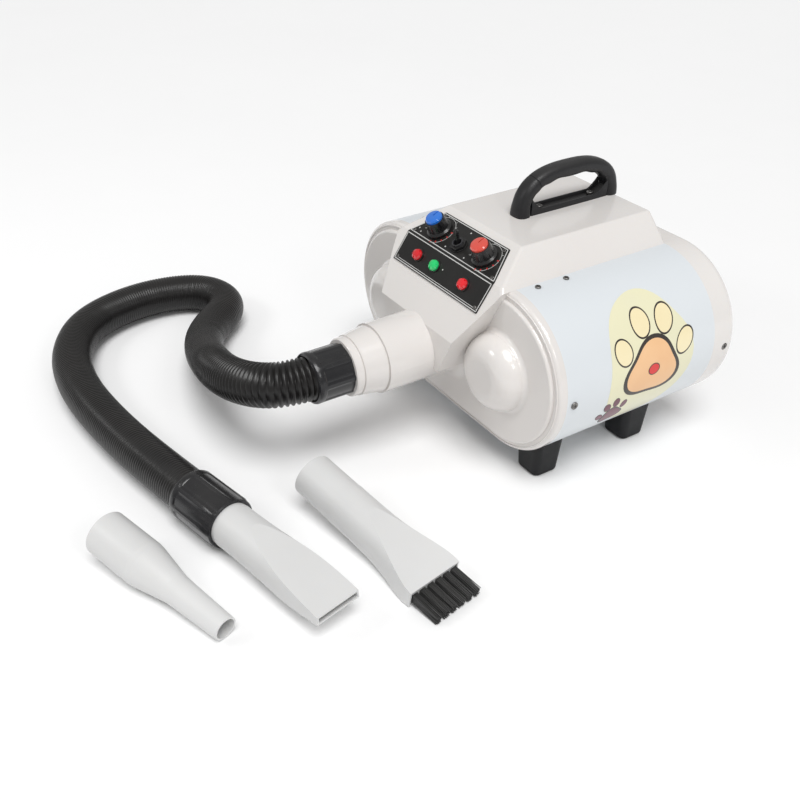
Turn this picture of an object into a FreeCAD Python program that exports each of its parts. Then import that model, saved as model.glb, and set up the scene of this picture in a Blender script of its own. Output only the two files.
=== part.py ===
"""Twin-motor pet dryer: casing, motors, controls, hose and three nozzles.

Frame: +Z up, the spout points to -Y, the printed side is +X. The origin is on the
floor, in the middle of the four feet. Millimetres and degrees throughout.
"""
import FreeCAD, Part
import math
import os

import Sketcher
from FreeCAD import Placement, Rotation, Vector

SIZES = [
    ("foot_height", 27.0, "floor to the casing's flat underside"),
    ("foot_side", 33.0, "foot, each side at the floor"),
    ("foot_x", 129.0, "foot centre from the middle plane"),
    ("foot_y", 64.0, "foot centre from the middle of the feet"),
    ("end_radius", 90.0, "half-round ends of the casing"),
    ("end_offset", 94.0, "centre of each half-round from the middle plane"),
    ("front_seam", -86.0, "plane between front cover and sleeve"),
    ("rear_seam", 120.0, "plane between sleeve and rear cover"),
    ("sleeve_wall", 1.0, "painted steel sheet"),
    ("wall", 2.6, "moulded covers"),
    ("rim_depth", 10.0, "front rim, forward of the seam"),
    ("rim_width", 9.0, "front rim, across its face"),
    ("face_depth", 14.0, "front face, forward of the seam"),
    ("dome_radius", 43.0, "motor dome"),
    ("dome_depth", 26.0, "motor dome, forward of the face"),
    ("dome_cove", 5.0, "hollow round the foot of each dome"),
    ("spout_cove", 15.0, "hollow round the root of the spout"),
    ("dome_round", 24.0, "motor dome, rounding of its nose"),
    ("rear_depth", 34.0, "rear cover, behind the seam"),
    ("spout_z", 115.0, "spout axis above the floor"),
    ("spout_radius", 38.7, "spout tube, outside"),
    ("spout_wall", 3.0, "spout tube wall"),
    ("spout_end", -198.0, "front edge of the spout tube"),
    ("collar_end", -234.0, "mouth of the spout collar"),
    ("collar_radius", 33.2, "collar near its mouth"),
    ("cuff_radius", 26.8, "hose cuff, outside"),
    ("cuff_length", 66.0, "hose cuff"),
    ("tool_radius", 23.3, "tail of every nozzle"),
    ("tool_grip", 38.0, "length of a tail inside a cuff"),
    ("hose_radius", 24.0, "hose, outside"),
    ("hose_bore", 21.0, "hose, inside"),
    ("hose_grip", 25.0, "length of hose inside a cuff"),
    ("console_top", 235.0, "flat top of the console"),
    ("console_top_half", 64.0, "half width of the console's flat top"),
    ("console_base_half", 93.0, "half width where the console meets the casing"),
    ("console_rear", 123.0, "rear wall of the console"),
    ("hood_low_half", 44.0, "half width of the hood beside the spout"),
    ("hood_low_z", 103.0, "lowest point of the hood"),
    ("bend_y", -101.5, "bend between the two panel facets"),
    ("bend_z", 210.5, "bend between the two panel facets"),
    ("low_angle", 55.5, "slope of the lamp facet"),
    ("high_angle", 29.5, "slope of the knob facet"),
    ("low_length", 34.5, "lamp facet of the panel"),
    ("high_length", 40.5, "knob facet of the panel"),
    ("panel_half", 76.0, "half width of the panel at its bend"),
    ("panel_top_half", 55.0, "half width of the panel's top edge"),
    ("panel_sheet", 1.2, "panel sheet"),
    ("knob_x", 40.0, "knob axis from the middle plane"),
    ("knob_up", 19.0, "knob axis up the facet from the bend"),
    ("handle_y", 54.0, "middle of the handle"),
    ("handle_span", 134.0, "handle, between the centre lines of its ends"),
    ("handle_rise", 44.0, "handle centre line above the console"),
    ("grip_thick", 15.0, "handle section"),
    ("motor_radius", 38.0, "motor can"),
    ("fan_radius", 60.0, "fan housing of each motor"),
    ("shaft_radius", 4.0, "motor shaft"),
    ("filter_radius", 51.0, "intake opening in the rear cover"),
]

doc = FreeCAD.newDocument("pet_dryer")
sheet = doc.addObject("Spreadsheet::Sheet", "sizes")
for line, (alias, value, note) in enumerate(SIZES, start=1):
    sheet.set(f"A{line}", note)
    sheet.set(f"B{line}", str(value))
    sheet.setAlias(f"B{line}", alias)
doc.recompute()
D = {alias: float(sheet.get(alias)) for alias, _, _ in SIZES}
MID_Z = D["foot_height"] + D["end_radius"]
MID = "(sizes.foot_height + sizes.end_radius)"
X, Y, Z = Vector(1, 0, 0), Vector(0, 1, 0), Vector(0, 0, 1)
kept = []


# ---------------------------------------------------------------- helpers
def number(expression):
    """Value of an expression of the sheet."""
    return float(sheet.evalExpression(str(expression)))


def keep(thing, label):
    """Name a finished sub-part; its label is its node and file name."""
    thing.Label = label
    kept.append(thing)
    return thing


def place(thing, base=(0, 0, 0), turn=None):
    """Put an object at expressions of the sheet, turned as given."""
    thing.Placement = Placement(Vector(*[number(b) for b in base]), turn or Rotation())
    for axis, expression in zip("xyz", base):
        if isinstance(expression, str):
            thing.setExpression(f".Placement.Base.{axis}", expression)
    return thing


def sketch_on(body, role, name):
    """Sketch on one of the body's own origin planes."""
    plane = [f for f in body.Origin.OriginFeatures if f.Role == role][0]
    sketch = body.newObject("Sketcher::SketchObject", name)
    sketch.AttachmentSupport = (plane, [""])
    sketch.MapMode = "FlatFace"
    return sketch


def bind_point(sketch, edge, end, x, y):
    """Tie a point to the sheet, or to an axis where its place is 0."""
    for kind, axis, expression in (("DistanceX", -2, x), ("DistanceY", -1, y)):
        if str(expression) == "0":
            sketch.addConstraint(Sketcher.Constraint("PointOnObject", edge, end, axis))
            continue
        index = sketch.addConstraint(
            Sketcher.Constraint(kind, -1, 1, edge, end, number(expression)))
        sketch.setExpression(f"Constraints[{index}]", str(expression))


def outline(sketch, points):
    """Closed outline of straight edges through pairs of expressions."""
    corners = [Vector(number(x), number(y), 0) for x, y in points]
    count = len(corners)
    for i in range(count):
        sketch.addGeometry(Part.LineSegment(corners[i], corners[(i + 1) % count]))
    for i in range(count):
        sketch.addConstraint(Sketcher.Constraint("Coincident", i, 2, (i + 1) % count, 1))
    for i, (x, y) in enumerate(points):
        bind_point(sketch, i, 1, x, y)


def slot_outline(sketch, radius):
    """Flat-topped outline with half-round ends, of the casing's section."""
    half, mid, r = D["end_offset"], MID_Z, number(radius)
    up, down = mid + r, mid - r
    sketch.addGeometry(Part.LineSegment(Vector(-half, up, 0), Vector(half, up, 0)))
    right = Part.Circle(Vector(half, mid, 0), Z, r)
    sketch.addGeometry(Part.ArcOfCircle(right, -math.pi / 2, math.pi / 2))
    sketch.addGeometry(Part.LineSegment(Vector(half, down, 0), Vector(-half, down, 0)))
    left = Part.Circle(Vector(-half, mid, 0), Z, r)
    sketch.addGeometry(Part.ArcOfCircle(left, math.pi / 2, 3 * math.pi / 2))
    for a, ea, b, eb in ((0, 2, 1, 2), (1, 1, 2, 1), (2, 2, 3, 2), (3, 1, 0, 1)):
        sketch.addConstraint(Sketcher.Constraint("Tangent", a, ea, b, eb))
    bind_point(sketch, 1, 3, "sizes.end_offset", MID)
    bind_point(sketch, 3, 3, "-sizes.end_offset", MID)
    index = sketch.addConstraint(Sketcher.Constraint("Radius", 1, r))
    sketch.setExpression(f"Constraints[{index}]", str(radius))


def pad(body, sketch, length, name="Pad", backwards=False, both=False):
    """Pad of a sketch, its length an expression."""
    feature = body.newObject("PartDesign::Pad", name)
    feature.Profile = sketch
    feature.setExpression("Length", str(length))
    feature.Reversed = backwards
    feature.Midplane = both
    return feature


def slot_block(name, radius, start, end):
    """Solid of the casing's section from one Y to another, further back, Y."""
    body = doc.addObject("PartDesign::Body", name)
    sketch = sketch_on(body, "XZ_Plane", name + "_outline")
    slot_outline(sketch, radius)
    pad(body, sketch, f"({end}) - ({start})", name + "_pad", backwards=True)
    return place(body, (0, f"{start}" if "sizes" in str(start) else start, 0))


def turned(name, points, base=(0, 0, 0), axis="Z", turn=None):
    """Solid turned about Y or Z from pairs of radius and distance along the axis."""
    body = doc.addObject("PartDesign::Body", name)
    sketch = sketch_on(body, "XY_Plane" if axis == "Y" else "XZ_Plane", name + "_outline")
    outline(sketch, points)
    feature = body.newObject("PartDesign::Revolution", name + "_turn")
    feature.Profile = sketch
    feature.ReferenceAxis = (sketch, ["V_Axis"])
    feature.Angle = 360
    return place(body, base, turn)


def prism(name, plane, points, length, base=(0, 0, 0), turn=None, both=True):
    """Straight-sided solid padded from an outline."""
    body = doc.addObject("PartDesign::Body", name)
    sketch = sketch_on(body, plane, name + "_outline")
    outline(sketch, points)
    pad(body, sketch, length, name + "_pad", both=both)
    return place(body, base, turn)


def block(name, size, base, turn=None):
    """Part box whose three sizes and corner are expressions."""
    thing = doc.addObject("Part::Box", name)
    for side, expression in zip(("Length", "Width", "Height"), size):
        thing.setExpression(side, str(expression))
    return place(thing, base, turn)


def rod(name, radius, length, base, turn=None):
    """Part cylinder whose sizes and place are expressions."""
    thing = doc.addObject("Part::Cylinder", name)
    thing.setExpression("Radius", str(radius))
    thing.setExpression("Height", str(length))
    return place(thing, base, turn)


def fuse(name, things):
    """Union of several objects."""
    thing = doc.addObject("Part::MultiFuse", name)
    thing.Shapes = things
    thing.Refine = True
    return thing


def cut(name, base, tools):
    """One object less several others."""
    for index, tool in enumerate(tools):
        thing = doc.addObject("Part::Cut", f"{name}_{index}")
        thing.Base, thing.Tool = base, tool
        base = thing
    return base


def common(name, first, second):
    """Solid that two objects share."""
    thing = doc.addObject("Part::MultiCommon", name)
    thing.Shapes = [first, second]
    return thing


def round_edges(name, base, chosen, radius):
    """Rounds the edges of an object that a test picks."""
    doc.recompute()
    thing = doc.addObject("Part::Fillet", name)
    thing.Base = base
    picks = [i for i, edge in enumerate(base.Shape.Edges, start=1) if chosen(edge)]
    if not picks:
        raise ValueError("no edge to round on " + name)
    thing.Edges = [(i, radius, radius) for i in picks]
    return thing


def computed(name, shape, placement=None):
    """Sub-part whose shape comes from Part's own functions."""
    thing = doc.addObject("Part::Feature", name)
    thing.Shape = shape
    thing.Placement = placement or Placement()
    return thing


def group(name, shapes):
    """Several like pieces kept as separate solids of one node."""
    return computed(name, Part.makeCompound(shapes))


def at_y(y, loose=0.01):
    """Test for edges that lie in one plane across Y."""
    return lambda e: e.BoundBox.YLength < loose and abs(e.BoundBox.YMin - y) < loose


TURN_TO_MINUS_Y = Rotation(X, 90)
TURN_TO_PLUS_Y = Rotation(X, -90)
SIDES = (("left", -1), ("right", 1))

# ---------------------------------------------------------------- panel facets
LOW_TURN = Rotation(X, D["low_angle"])
HIGH_TURN = Rotation(X, D["high_angle"])


def on_facet(x, up, turn, lift=0.0):
    """Point on a facet: across, up the slope from the bend, and off its surface."""
    slope = turn.multVec(Vector(0, up, lift))
    return Vector(x, D["bend_y"] + slope.y, D["bend_z"] + slope.z)


def facet_place(x, up, turn, lift=0.0):
    """Placement whose Z axis stands off a facet."""
    return Placement(on_facet(x, up, turn, lift), turn)


LOW_Y = "(sizes.bend_y - {reach} * cos(sizes.low_angle * 1 deg))"
LOW_Z = "(sizes.bend_z - {reach} * sin(sizes.low_angle * 1 deg))"
HIGH_Y = "(sizes.bend_y + {reach} * cos(sizes.high_angle * 1 deg))"
HIGH_Z = "(sizes.bend_z + {reach} * sin(sizes.high_angle * 1 deg))"


# ---------------------------------------------------------------- front cover
def front_form(name, inset):
    """Front cover's solid form, every wall moved in by the inset."""
    rim = slot_block(name + "_rim", f"sizes.end_radius - {inset}",
                     f"sizes.front_seam - sizes.rim_depth + {inset}", "sizes.front_seam")
    face = slot_block(name + "_face",
                      f"sizes.end_radius - sizes.rim_width - {inset}",
                      f"sizes.front_seam - sizes.face_depth + {inset}", "sizes.front_seam")
    domes = []
    for side, s in SIDES:
        dome = turned(
            f"{name}_{side}_dome",
            [("0", "0"), (f"sizes.dome_radius - {inset}", "0"),
             (f"sizes.dome_radius - {inset}",
              f"-(sizes.face_depth + sizes.dome_depth - {inset})"),
             ("0", f"-(sizes.face_depth + sizes.dome_depth - {inset})")],
            (f"{s} * sizes.end_offset", "sizes.front_seam", MID), "Y")
        nose_y = D["front_seam"] - D["face_depth"] - D["dome_depth"] + inset
        domes.append(round_edges(f"{name}_{side}_nose", dome, at_y(nose_y),
                                 D["dome_round"] - inset))
    return rim, face, domes


rim, face, domes = front_form("cover_outer", 0.0)
tube = rod("spout_tube", "sizes.spout_radius", "sizes.front_seam - sizes.spout_end",
           (0, "sizes.front_seam", "sizes.spout_z"), TURN_TO_MINUS_Y)
rim_round = round_edges("rim_round", rim,
                        at_y(D["front_seam"] - D["rim_depth"]), 4.0)
face_round = round_edges("face_round", face,
                         at_y(D["front_seam"] - D["face_depth"]), 2.8)
FACE_Y = D["front_seam"] - D["face_depth"]


def cove(name, radius, hollow, x, z):
    """Ring with a hollow face, which runs a round form out into the cover's face."""
    disc = rod(f"{name}_disc", f"{radius} + {hollow}", f"{hollow} + 4", (x, FACE_Y + 4, z),
               TURN_TO_MINUS_Y)
    ring = doc.addObject("Part::Torus", f"{name}_hollow")
    ring.setExpression("Radius1", f"{radius} + {hollow}")
    ring.setExpression("Radius2", f"{hollow}")
    place(ring, (x, FACE_Y - number(hollow), z), TURN_TO_MINUS_Y)
    return cut(f"{name}_cut", disc, [ring])


coves = [cove(f"{side}_dome_cove", "sizes.dome_radius", "sizes.dome_cove",
              s * D["end_offset"], MID_Z) for side, s in SIDES]
coves.append(cove("spout_cove", "sizes.spout_radius", "sizes.spout_cove", 0, D["spout_z"]))
cover_outer = fuse("cover_outer", [rim_round, face_round, tube] + domes + coves)
WALL = D["wall"]
in_rim, in_face, in_domes = front_form("cover_inner", WALL)
bore = rod("spout_bore", "sizes.spout_radius - sizes.spout_wall",
           "sizes.front_seam - sizes.spout_end + 20",
           (0, "sizes.front_seam + 10", "sizes.spout_z"), TURN_TO_MINUS_Y)
cover_inner = fuse("cover_inner", [in_rim, in_face, bore] + in_domes)
skirt_out = slot_block("skirt_out", "sizes.end_radius - sizes.sleeve_wall - 0.2",
                       "sizes.front_seam - 2", "sizes.front_seam + 18")
skirt_in = slot_block("skirt_in", "sizes.end_radius - sizes.sleeve_wall - 2.7",
                      "sizes.front_seam - 4", "sizes.front_seam + 19")
skirt = cut("front_skirt", skirt_out, [skirt_in])
cover_shell = cut("cover_shell", cover_outer, [cover_inner])
cover_whole = fuse("cover_whole", [cover_shell, skirt])
# The controls reach down through an opening behind the hood.
hood_window = block("hood_window", (112, 44, 30), (-56, -106, 190))
edge_x = D["end_offset"] + D["end_radius"]
FRONT_SCREW_Y = D["front_seam"] + 9.0
side_bores = [rod(f"{side}_front_bore", 1.95, 12, (s * (edge_x - 9), FRONT_SCREW_Y, MID_Z),
                  Rotation(Y, 90 * s)) for side, s in SIDES]
keep(cut("front_cover_cut", cover_whole, [hood_window] + side_bores), "front_cover")

keep(turned("collar", [
    ("sizes.cuff_radius + 0.2", "sizes.collar_end"),
    ("sizes.collar_radius - 2.4", "sizes.collar_end"),
    ("sizes.collar_radius - 1.2", "sizes.collar_end + 1.4"),
    ("sizes.collar_radius - 0.9", "sizes.collar_end + 7.6"),
    ("sizes.collar_radius - 1.9", "sizes.collar_end + 7.9"),
    ("sizes.collar_radius - 1.9", "sizes.collar_end + 8.8"),
    ("sizes.collar_radius", "sizes.collar_end + 9.3"),
    ("sizes.collar_radius + 0.2", "sizes.collar_end + 12"),
    ("sizes.spout_radius - 2", "sizes.spout_end - 1.6"),
    ("sizes.spout_radius - sizes.spout_wall - 0.1", "sizes.spout_end - 1.3"),
    ("sizes.spout_radius - sizes.spout_wall - 0.1", "sizes.spout_end + 16"),
    ("sizes.cuff_radius + 0.2", "sizes.spout_end + 16")],
    (0, 0, "sizes.spout_z"), "Y"), "spout_collar")

# ---------------------------------------------------------------- sleeve and rear cover
sleeve_out = slot_block("sleeve_out", "sizes.end_radius",
                        "sizes.front_seam", "sizes.rear_seam")
sleeve_in = slot_block("sleeve_in", "sizes.end_radius - sizes.sleeve_wall",
                       "sizes.front_seam - 1", "sizes.rear_seam + 1")
TOP_SCREW_X = 100.0
TOP_SCREW_YS = (-64.0, -27.0)
top_tilt = math.asin((TOP_SCREW_X - D["end_offset"]) / D["end_radius"])
top_screw_z = MID_Z + D["end_radius"] * math.cos(top_tilt)
sleeve_bores = []
for side, s in SIDES:
    for i, y in enumerate(TOP_SCREW_YS):
        sleeve_bores.append(rod(f"{side}_top_bore_{i}", 1.65, 12,
                                (s * TOP_SCREW_X, y, top_screw_z - 9)))
    for i, sy in enumerate((-1, 1)):
        sleeve_bores.append(rod(f"{side}_foot_bore_{i}", 2.2, 20,
                                (f"{s} * sizes.foot_x", f"{sy} * sizes.foot_y", 25)))
keep(cut("sleeve", sleeve_out, [sleeve_in, hood_window] + side_bores + sleeve_bores),
     "body_sleeve")

REAR_Y = D["rear_seam"] + D["rear_depth"]
rear_out = slot_block("rear_out", "sizes.end_radius", "sizes.rear_seam",
                      "sizes.rear_seam + sizes.rear_depth")
rear_soft = round_edges("rear_soft", rear_out, at_y(REAR_Y), 10.0)
rear_in = slot_block("rear_in", "sizes.end_radius - sizes.wall", "sizes.rear_seam - 1",
                     "sizes.rear_seam + sizes.rear_depth - sizes.wall")
rear_in_soft = round_edges("rear_in_soft", rear_in, at_y(REAR_Y - WALL), 8.0)
rear_shell = cut("rear_shell", rear_soft, [rear_in_soft])
rear_skirt_out = slot_block("rear_skirt_out", "sizes.end_radius - sizes.sleeve_wall - 0.2",
                            "sizes.rear_seam - 16", "sizes.rear_seam + 2")
rear_skirt_in = slot_block("rear_skirt_in", "sizes.end_radius - sizes.sleeve_wall - 2.7",
                           "sizes.rear_seam - 17", "sizes.rear_seam + 3")
rear_skirt = cut("rear_skirt", rear_skirt_out, [rear_skirt_in])
rear_whole = fuse("rear_whole", [rear_shell, rear_skirt])
intakes = [rod(f"{side}_intake", "sizes.filter_radius", 20,
               (f"{s} * sizes.end_offset", REAR_Y - 12, MID), TURN_TO_PLUS_Y)
           for side, s in SIDES]
GLAND_Z = 62.0
gland_hole = rod("gland_hole", 8.2, 20, (0, REAR_Y - 12, GLAND_Z), TURN_TO_PLUS_Y)
CAP_SCREW_Y = REAR_Y - 16.0
cap_recesses = [rod(f"{side}_cap_recess", 4.2, 12,
                    (s * (D["end_offset"] + D["end_radius"] - 1.6), CAP_SCREW_Y, MID),
                    Rotation(Y, 90 * s)) for side, s in SIDES]
cap_holes = [rod(f"{side}_cap_hole", 2.05, 30,
                 (s * (D["end_offset"] + D["end_radius"] - 20), CAP_SCREW_Y, MID),
                 Rotation(Y, 90 * s)) for side, s in SIDES]
keep(cut("rear_cut", rear_whole, intakes + [gland_hole] + cap_recesses + cap_holes), "rear_cover")

# Each intake has a plug-in grille with a foam disc behind it.
for side, s in SIDES:
    centre = (f"{s} * sizes.end_offset", REAR_Y, MID)
    dish = turned(f"{side}_dish", [
        ("0", "4"), ("sizes.filter_radius + 3", "4"), ("sizes.filter_radius + 6", "0.3"),
        ("sizes.filter_radius - 0.35", "0.3"), ("sizes.filter_radius - 0.35", "-13"),
        ("sizes.filter_radius - 2.4", "-13"), ("sizes.filter_radius - 2.4", "1.6"),
        ("0", "1.6")], centre, "Y")
    slots = []
    for row in range(-4, 5):
        half = math.sqrt(44.0 ** 2 - (row * 9.0) ** 2)
        slots.append(block(f"{side}_slot_{row + 4}", (2 * half, 6, 4.5),
                           (s * D["end_offset"] - half, REAR_Y, MID_Z + row * 9.0 - 2.25)))
    keep(cut(f"{side}_grille", dish, slots), f"{side}_filter_cover")
    keep(turned(f"{side}_foam", [("0", "1.5"), ("sizes.filter_radius - 2.6", "1.5"),
                                 ("sizes.filter_radius - 2.6", "-9"), ("0", "-9")],
                centre, "Y"), f"{side}_filter_foam")

keep(turned("gland", [
    ("4.5", "-15"), ("8", "-15"), ("8", "0"), ("12", "0"), ("12", "4"),
    ("9.5", "5"), ("7.4", "14"), ("4.5", "14")], (0, REAR_Y, GLAND_Z), "Y"), "cord_gland")
keep(turned("gland_nut", [("8.05", "-7.6"), ("12.5", "-7.6"), ("12.5", "-2.6"), ("8.05", "-2.6")],
            (0, REAR_Y, GLAND_Z), "Y"), "gland_nut")


# ---------------------------------------------------------------- console
def console_form(name, inset):
    """Console and hood: a side outline and a front outline, and what both hold."""
    low_reach = 74.0
    side = prism(name + "_side", "YZ_Plane", [
        (f"sizes.console_rear - {inset}", "90"),
        (f"sizes.console_rear - {inset}", f"sizes.console_top - {inset}"),
        (f"sizes.bend_y + (sizes.console_top - sizes.bend_z) / tan(sizes.high_angle * 1 deg)"
         f" + {inset} * 0.27", f"sizes.console_top - {inset}"),
        (f"sizes.bend_y + {inset} * 0.66", f"sizes.bend_z - {inset} * 0.78"),
        (LOW_Y.format(reach=low_reach) + f" + {inset} * 1.2", LOW_Z.format(reach=low_reach)),
        (LOW_Y.format(reach=low_reach) + f" + {inset} * 1.2", "90")], 240)
    front = prism(name + "_front", "XZ_Plane", [
        (f"sizes.console_top_half - {inset}", f"sizes.console_top - {inset}"),
        (f"sizes.console_base_half - {inset}", f"{MID} + sizes.end_radius"),
        (f"sizes.console_base_half - 4 - {inset}", f"{MID} + sizes.end_radius - 11"),
        (f"sizes.hood_low_half - {inset}", "sizes.hood_low_z"),
        (f"-(sizes.hood_low_half - {inset})", "sizes.hood_low_z"),
        (f"-(sizes.console_base_half - 4 - {inset})", f"{MID} + sizes.end_radius - 11"),
        (f"-(sizes.console_base_half - {inset})", f"{MID} + sizes.end_radius"),
        (f"-(sizes.console_top_half - {inset})", f"sizes.console_top - {inset}")], 600)
    return common(name, side, front)


console_outer = console_form("console_outer", 0.0)
TOP = D["console_top"]


def console_edge(edge):
    """Long outer edges of the console: round its top and rear, and beside the upper facet."""
    box = edge.BoundBox
    if box.DiagonalLength < 5:
        return False
    middle = edge.valueAt((edge.FirstParameter + edge.LastParameter) / 2)
    on_top = box.ZMin > TOP - 0.01
    at_rear = middle.y > D["console_rear"] - 0.5 and middle.z > MID_Z + D["end_radius"] + 1
    on_side = abs(middle.x) > 40 and middle.z > 150 and -105 < middle.y < -70
    across = box.XLength > 250 or box.YLength > 150
    return on_top or at_rear or (on_side and not across)


console_round = round_edges("console_round", console_outer, console_edge, 5.0)
console_inner = console_form("console_inner", WALL)
console_shell = cut("console_shell", console_round, [console_inner])
casing_block = slot_block("casing_block", "sizes.end_radius", "sizes.front_seam - 0.05",
                          "sizes.rear_seam + sizes.rear_depth")
knob_holes = []
for name, x, up, turn, radius in (
        ("speed", -D["knob_x"], D["knob_up"], HIGH_TURN, 4.7),
        ("heat", D["knob_x"], D["knob_up"], HIGH_TURN, 4.7),
        ("toggle", 0.0, 15.0, HIGH_TURN, 6.2),
        ("lamp_a", -41.0, -17.0, LOW_TURN, 5.2),
        ("lamp_b", -10.0, -17.0, LOW_TURN, 5.2),
        ("lamp_c", 41.0, -17.0, LOW_TURN, 5.2)):
    spot = facet_place(x, up, turn, -8.0)
    hole = rod(f"{name}_hole", radius, 20, tuple(spot.Base), turn)
    knob_holes.append(hole)
PANEL_SCREWS = ((-69, 4, HIGH_TURN), (69, 4, HIGH_TURN), (-52, 36, HIGH_TURN),
                (52, 36, HIGH_TURN), (-71, -30, LOW_TURN), (71, -30, LOW_TURN))
for i, (x, up, turn) in enumerate(PANEL_SCREWS):
    spot = facet_place(x, up, turn, -5.5)
    knob_holes.append(rod(f"panel_screw_hole_{i}", 1.05, 9, tuple(spot.Base), turn))
hole_set = fuse("panel_holes", knob_holes)
HANDLE_SCREW_YS = [D["handle_y"] + s * (D["handle_span"] / 2 - 30) for s in (-1, 1)]
handle_holes = [rod(f"handle_hole_{i}", 2.1, 12, (0, y, "sizes.console_top - 8"))
                for i, y in enumerate(HANDLE_SCREW_YS)]
keep(cut("console_cut", console_shell,
         [cover_outer, casing_block, bore, hole_set] + handle_holes), "top_console")

# ---------------------------------------------------------------- control panel
skin = "sizes.panel_sheet"
panel_side = prism("panel_side", "YZ_Plane", [
    (LOW_Y.format(reach="sizes.low_length"), LOW_Z.format(reach="sizes.low_length")),
    ("sizes.bend_y", "sizes.bend_z"),
    (HIGH_Y.format(reach="sizes.high_length"), HIGH_Z.format(reach="sizes.high_length")),
    (HIGH_Y.format(reach="sizes.high_length") + f" - {skin} * sin(sizes.high_angle * 1 deg)",
     HIGH_Z.format(reach="sizes.high_length") + f" + {skin} * cos(sizes.high_angle * 1 deg)"),
    (f"sizes.bend_y - {skin} * 0.69", f"sizes.bend_z + {skin} * 0.76"),
    (LOW_Y.format(reach="sizes.low_length") + f" - {skin} * sin(sizes.low_angle * 1 deg)",
     LOW_Z.format(reach="sizes.low_length") + f" + {skin} * cos(sizes.low_angle * 1 deg)")],
    "2 * sizes.panel_half")
bend_over = HIGH_Z.format(reach="sizes.high_length")
panel_trim = prism("panel_trim", "XZ_Plane", [
    ("sizes.panel_half", "100"), ("sizes.panel_half", "sizes.bend_z + 0.6"),
    ("sizes.panel_top_half", f"{bend_over} + 1"), ("-sizes.panel_top_half", f"{bend_over} + 1"),
    ("-sizes.panel_half", "sizes.bend_z + 0.6"), ("-sizes.panel_half", "100")], 400)
panel_blank = common("panel_blank", panel_side, panel_trim)
keep(cut("panel_cut", panel_blank, [hole_set]), "control_panel")
SKIN = D["panel_sheet"]

controls = []
for name, s in (("speed", -1), ("heat", 1)):
    spot = facet_place(s * D["knob_x"], D["knob_up"], HIGH_TURN)
    base = tuple(spot.Base)
    controls.append(turned(f"{name}_control_body", [
        ("3.08", "-13"), ("9", "-13"), ("9", "-4"), ("4.6", "-4"), ("4.6", "4.6"), ("3.08", "4.6")],
        base, "Z", HIGH_TURN))
    keep(turned(f"{name}_shaft_turned", [
        ("0", "-12.6"), ("3", "-12.6"), ("3", "14"), ("0", "14")], base, "Z", HIGH_TURN),
        f"{name}_shaft")
    grip = turned(f"{name}_grip", [
        ("3", "5.4"), ("8", "5.4"), ("8", "2.2"), ("14.2", "2.2"), ("14.2", "4.6"),
        ("12.2", "6.4"), ("10.8", "18.5"), ("9.6", "18.5"), ("9.6", "16.5"),
        ("0", "16.5"), ("0", "14"), ("3", "14")], base, "Z", HIGH_TURN)
    flutes = []
    for i in range(12):
        angle = math.radians(30 * i)
        local = Vector(12.9 * math.cos(angle), 12.9 * math.sin(angle), 6.8)
        foot = spot.multVec(local)
        flutes.append(rod(f"{name}_flute_{i}", 1.5, 14, tuple(foot), HIGH_TURN))
    keep(cut(f"{name}_knob_cut", grip, [fuse(f"{name}_flutes", flutes)]), f"{name}_knob")
    cap_name = "blue" if name == "speed" else "red"
    cap = turned(f"{name}_cap_turned", [
        ("0", "16.5"), ("9.5", "16.5"), ("9.5", "20.6"), ("8.4", "22"), ("5", "22.8"),
        ("0", "23")], base, "Z", HIGH_TURN)
    pointer = block(f"{name}_pointer", (1.2, 9, 3), tuple(spot.multVec(Vector(-0.6, 0.5, 21.4))),
                    HIGH_TURN)
    keep(cut(f"{name}_cap_cut", cap, [pointer]), f"{name}_knob_{cap_name}_cap")

both_controls = doc.addObject("Part::Compound", "both_controls")
both_controls.Links = controls
keep(both_controls, "rotary_controls")

TOGGLE = facet_place(0.0, 15.0, HIGH_TURN)
toggle_base = tuple(TOGGLE.Base)
toggle_case = block("toggle_case", (14, 24, 13), tuple(TOGGLE.multVec(Vector(-7, -12, -17))),
                    HIGH_TURN)
toggle_bush = turned("toggle_bush", [("0", "-5"), ("6", "-5"), ("6", "7.2"), ("0", "7.2")],
                     toggle_base, "Z", HIGH_TURN)
toggle_bore = turned("toggle_bore", [("0", "-11"), ("4.6", "-11"), ("4.6", "-1"), ("4.8", "9"),
                                     ("0", "9")], toggle_base, "Z", HIGH_TURN)
keep(cut("toggle_whole", fuse("toggle_solid", [toggle_case, toggle_bush]), [toggle_bore]),
     "toggle_switch")
nut_blank = doc.addObject("Part::Prism", "nut_blank")
nut_blank.Polygon, nut_blank.Circumradius, nut_blank.Height = 6, 9.4, 3.0
place(nut_blank, tuple(TOGGLE.multVec(Vector(0, 0, SKIN + 0.9))), HIGH_TURN)
nut_washer = rod("nut_washer", 9.8, 0.9, tuple(TOGGLE.multVec(Vector(0, 0, SKIN))), HIGH_TURN)
nut_bore = rod("nut_bore", 6.05, 9, tuple(TOGGLE.multVec(Vector(0, 0, -2))), HIGH_TURN)
keep(cut("toggle_nut_cut", fuse("toggle_nut_solid", [nut_blank, nut_washer]), [nut_bore]),
     "toggle_nut")
LEVER_TILT = 12.0
lever_pivot = TOGGLE.multVec(Vector(0, 0, 2.0))
keep(turned("lever_turned", [
    ("0", "-6"), ("1.6", "-6"), ("1.9", "-1"), ("3.2", "0"), ("3.2", "1.5"), ("1.9", "3"),
    ("2.1", "6"), ("2.9", "17.2"), ("2.3", "19.4"), ("0", "20")], tuple(lever_pivot), "Z",
    HIGH_TURN.multiply(Rotation(X, -LEVER_TILT))), "toggle_lever")

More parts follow.
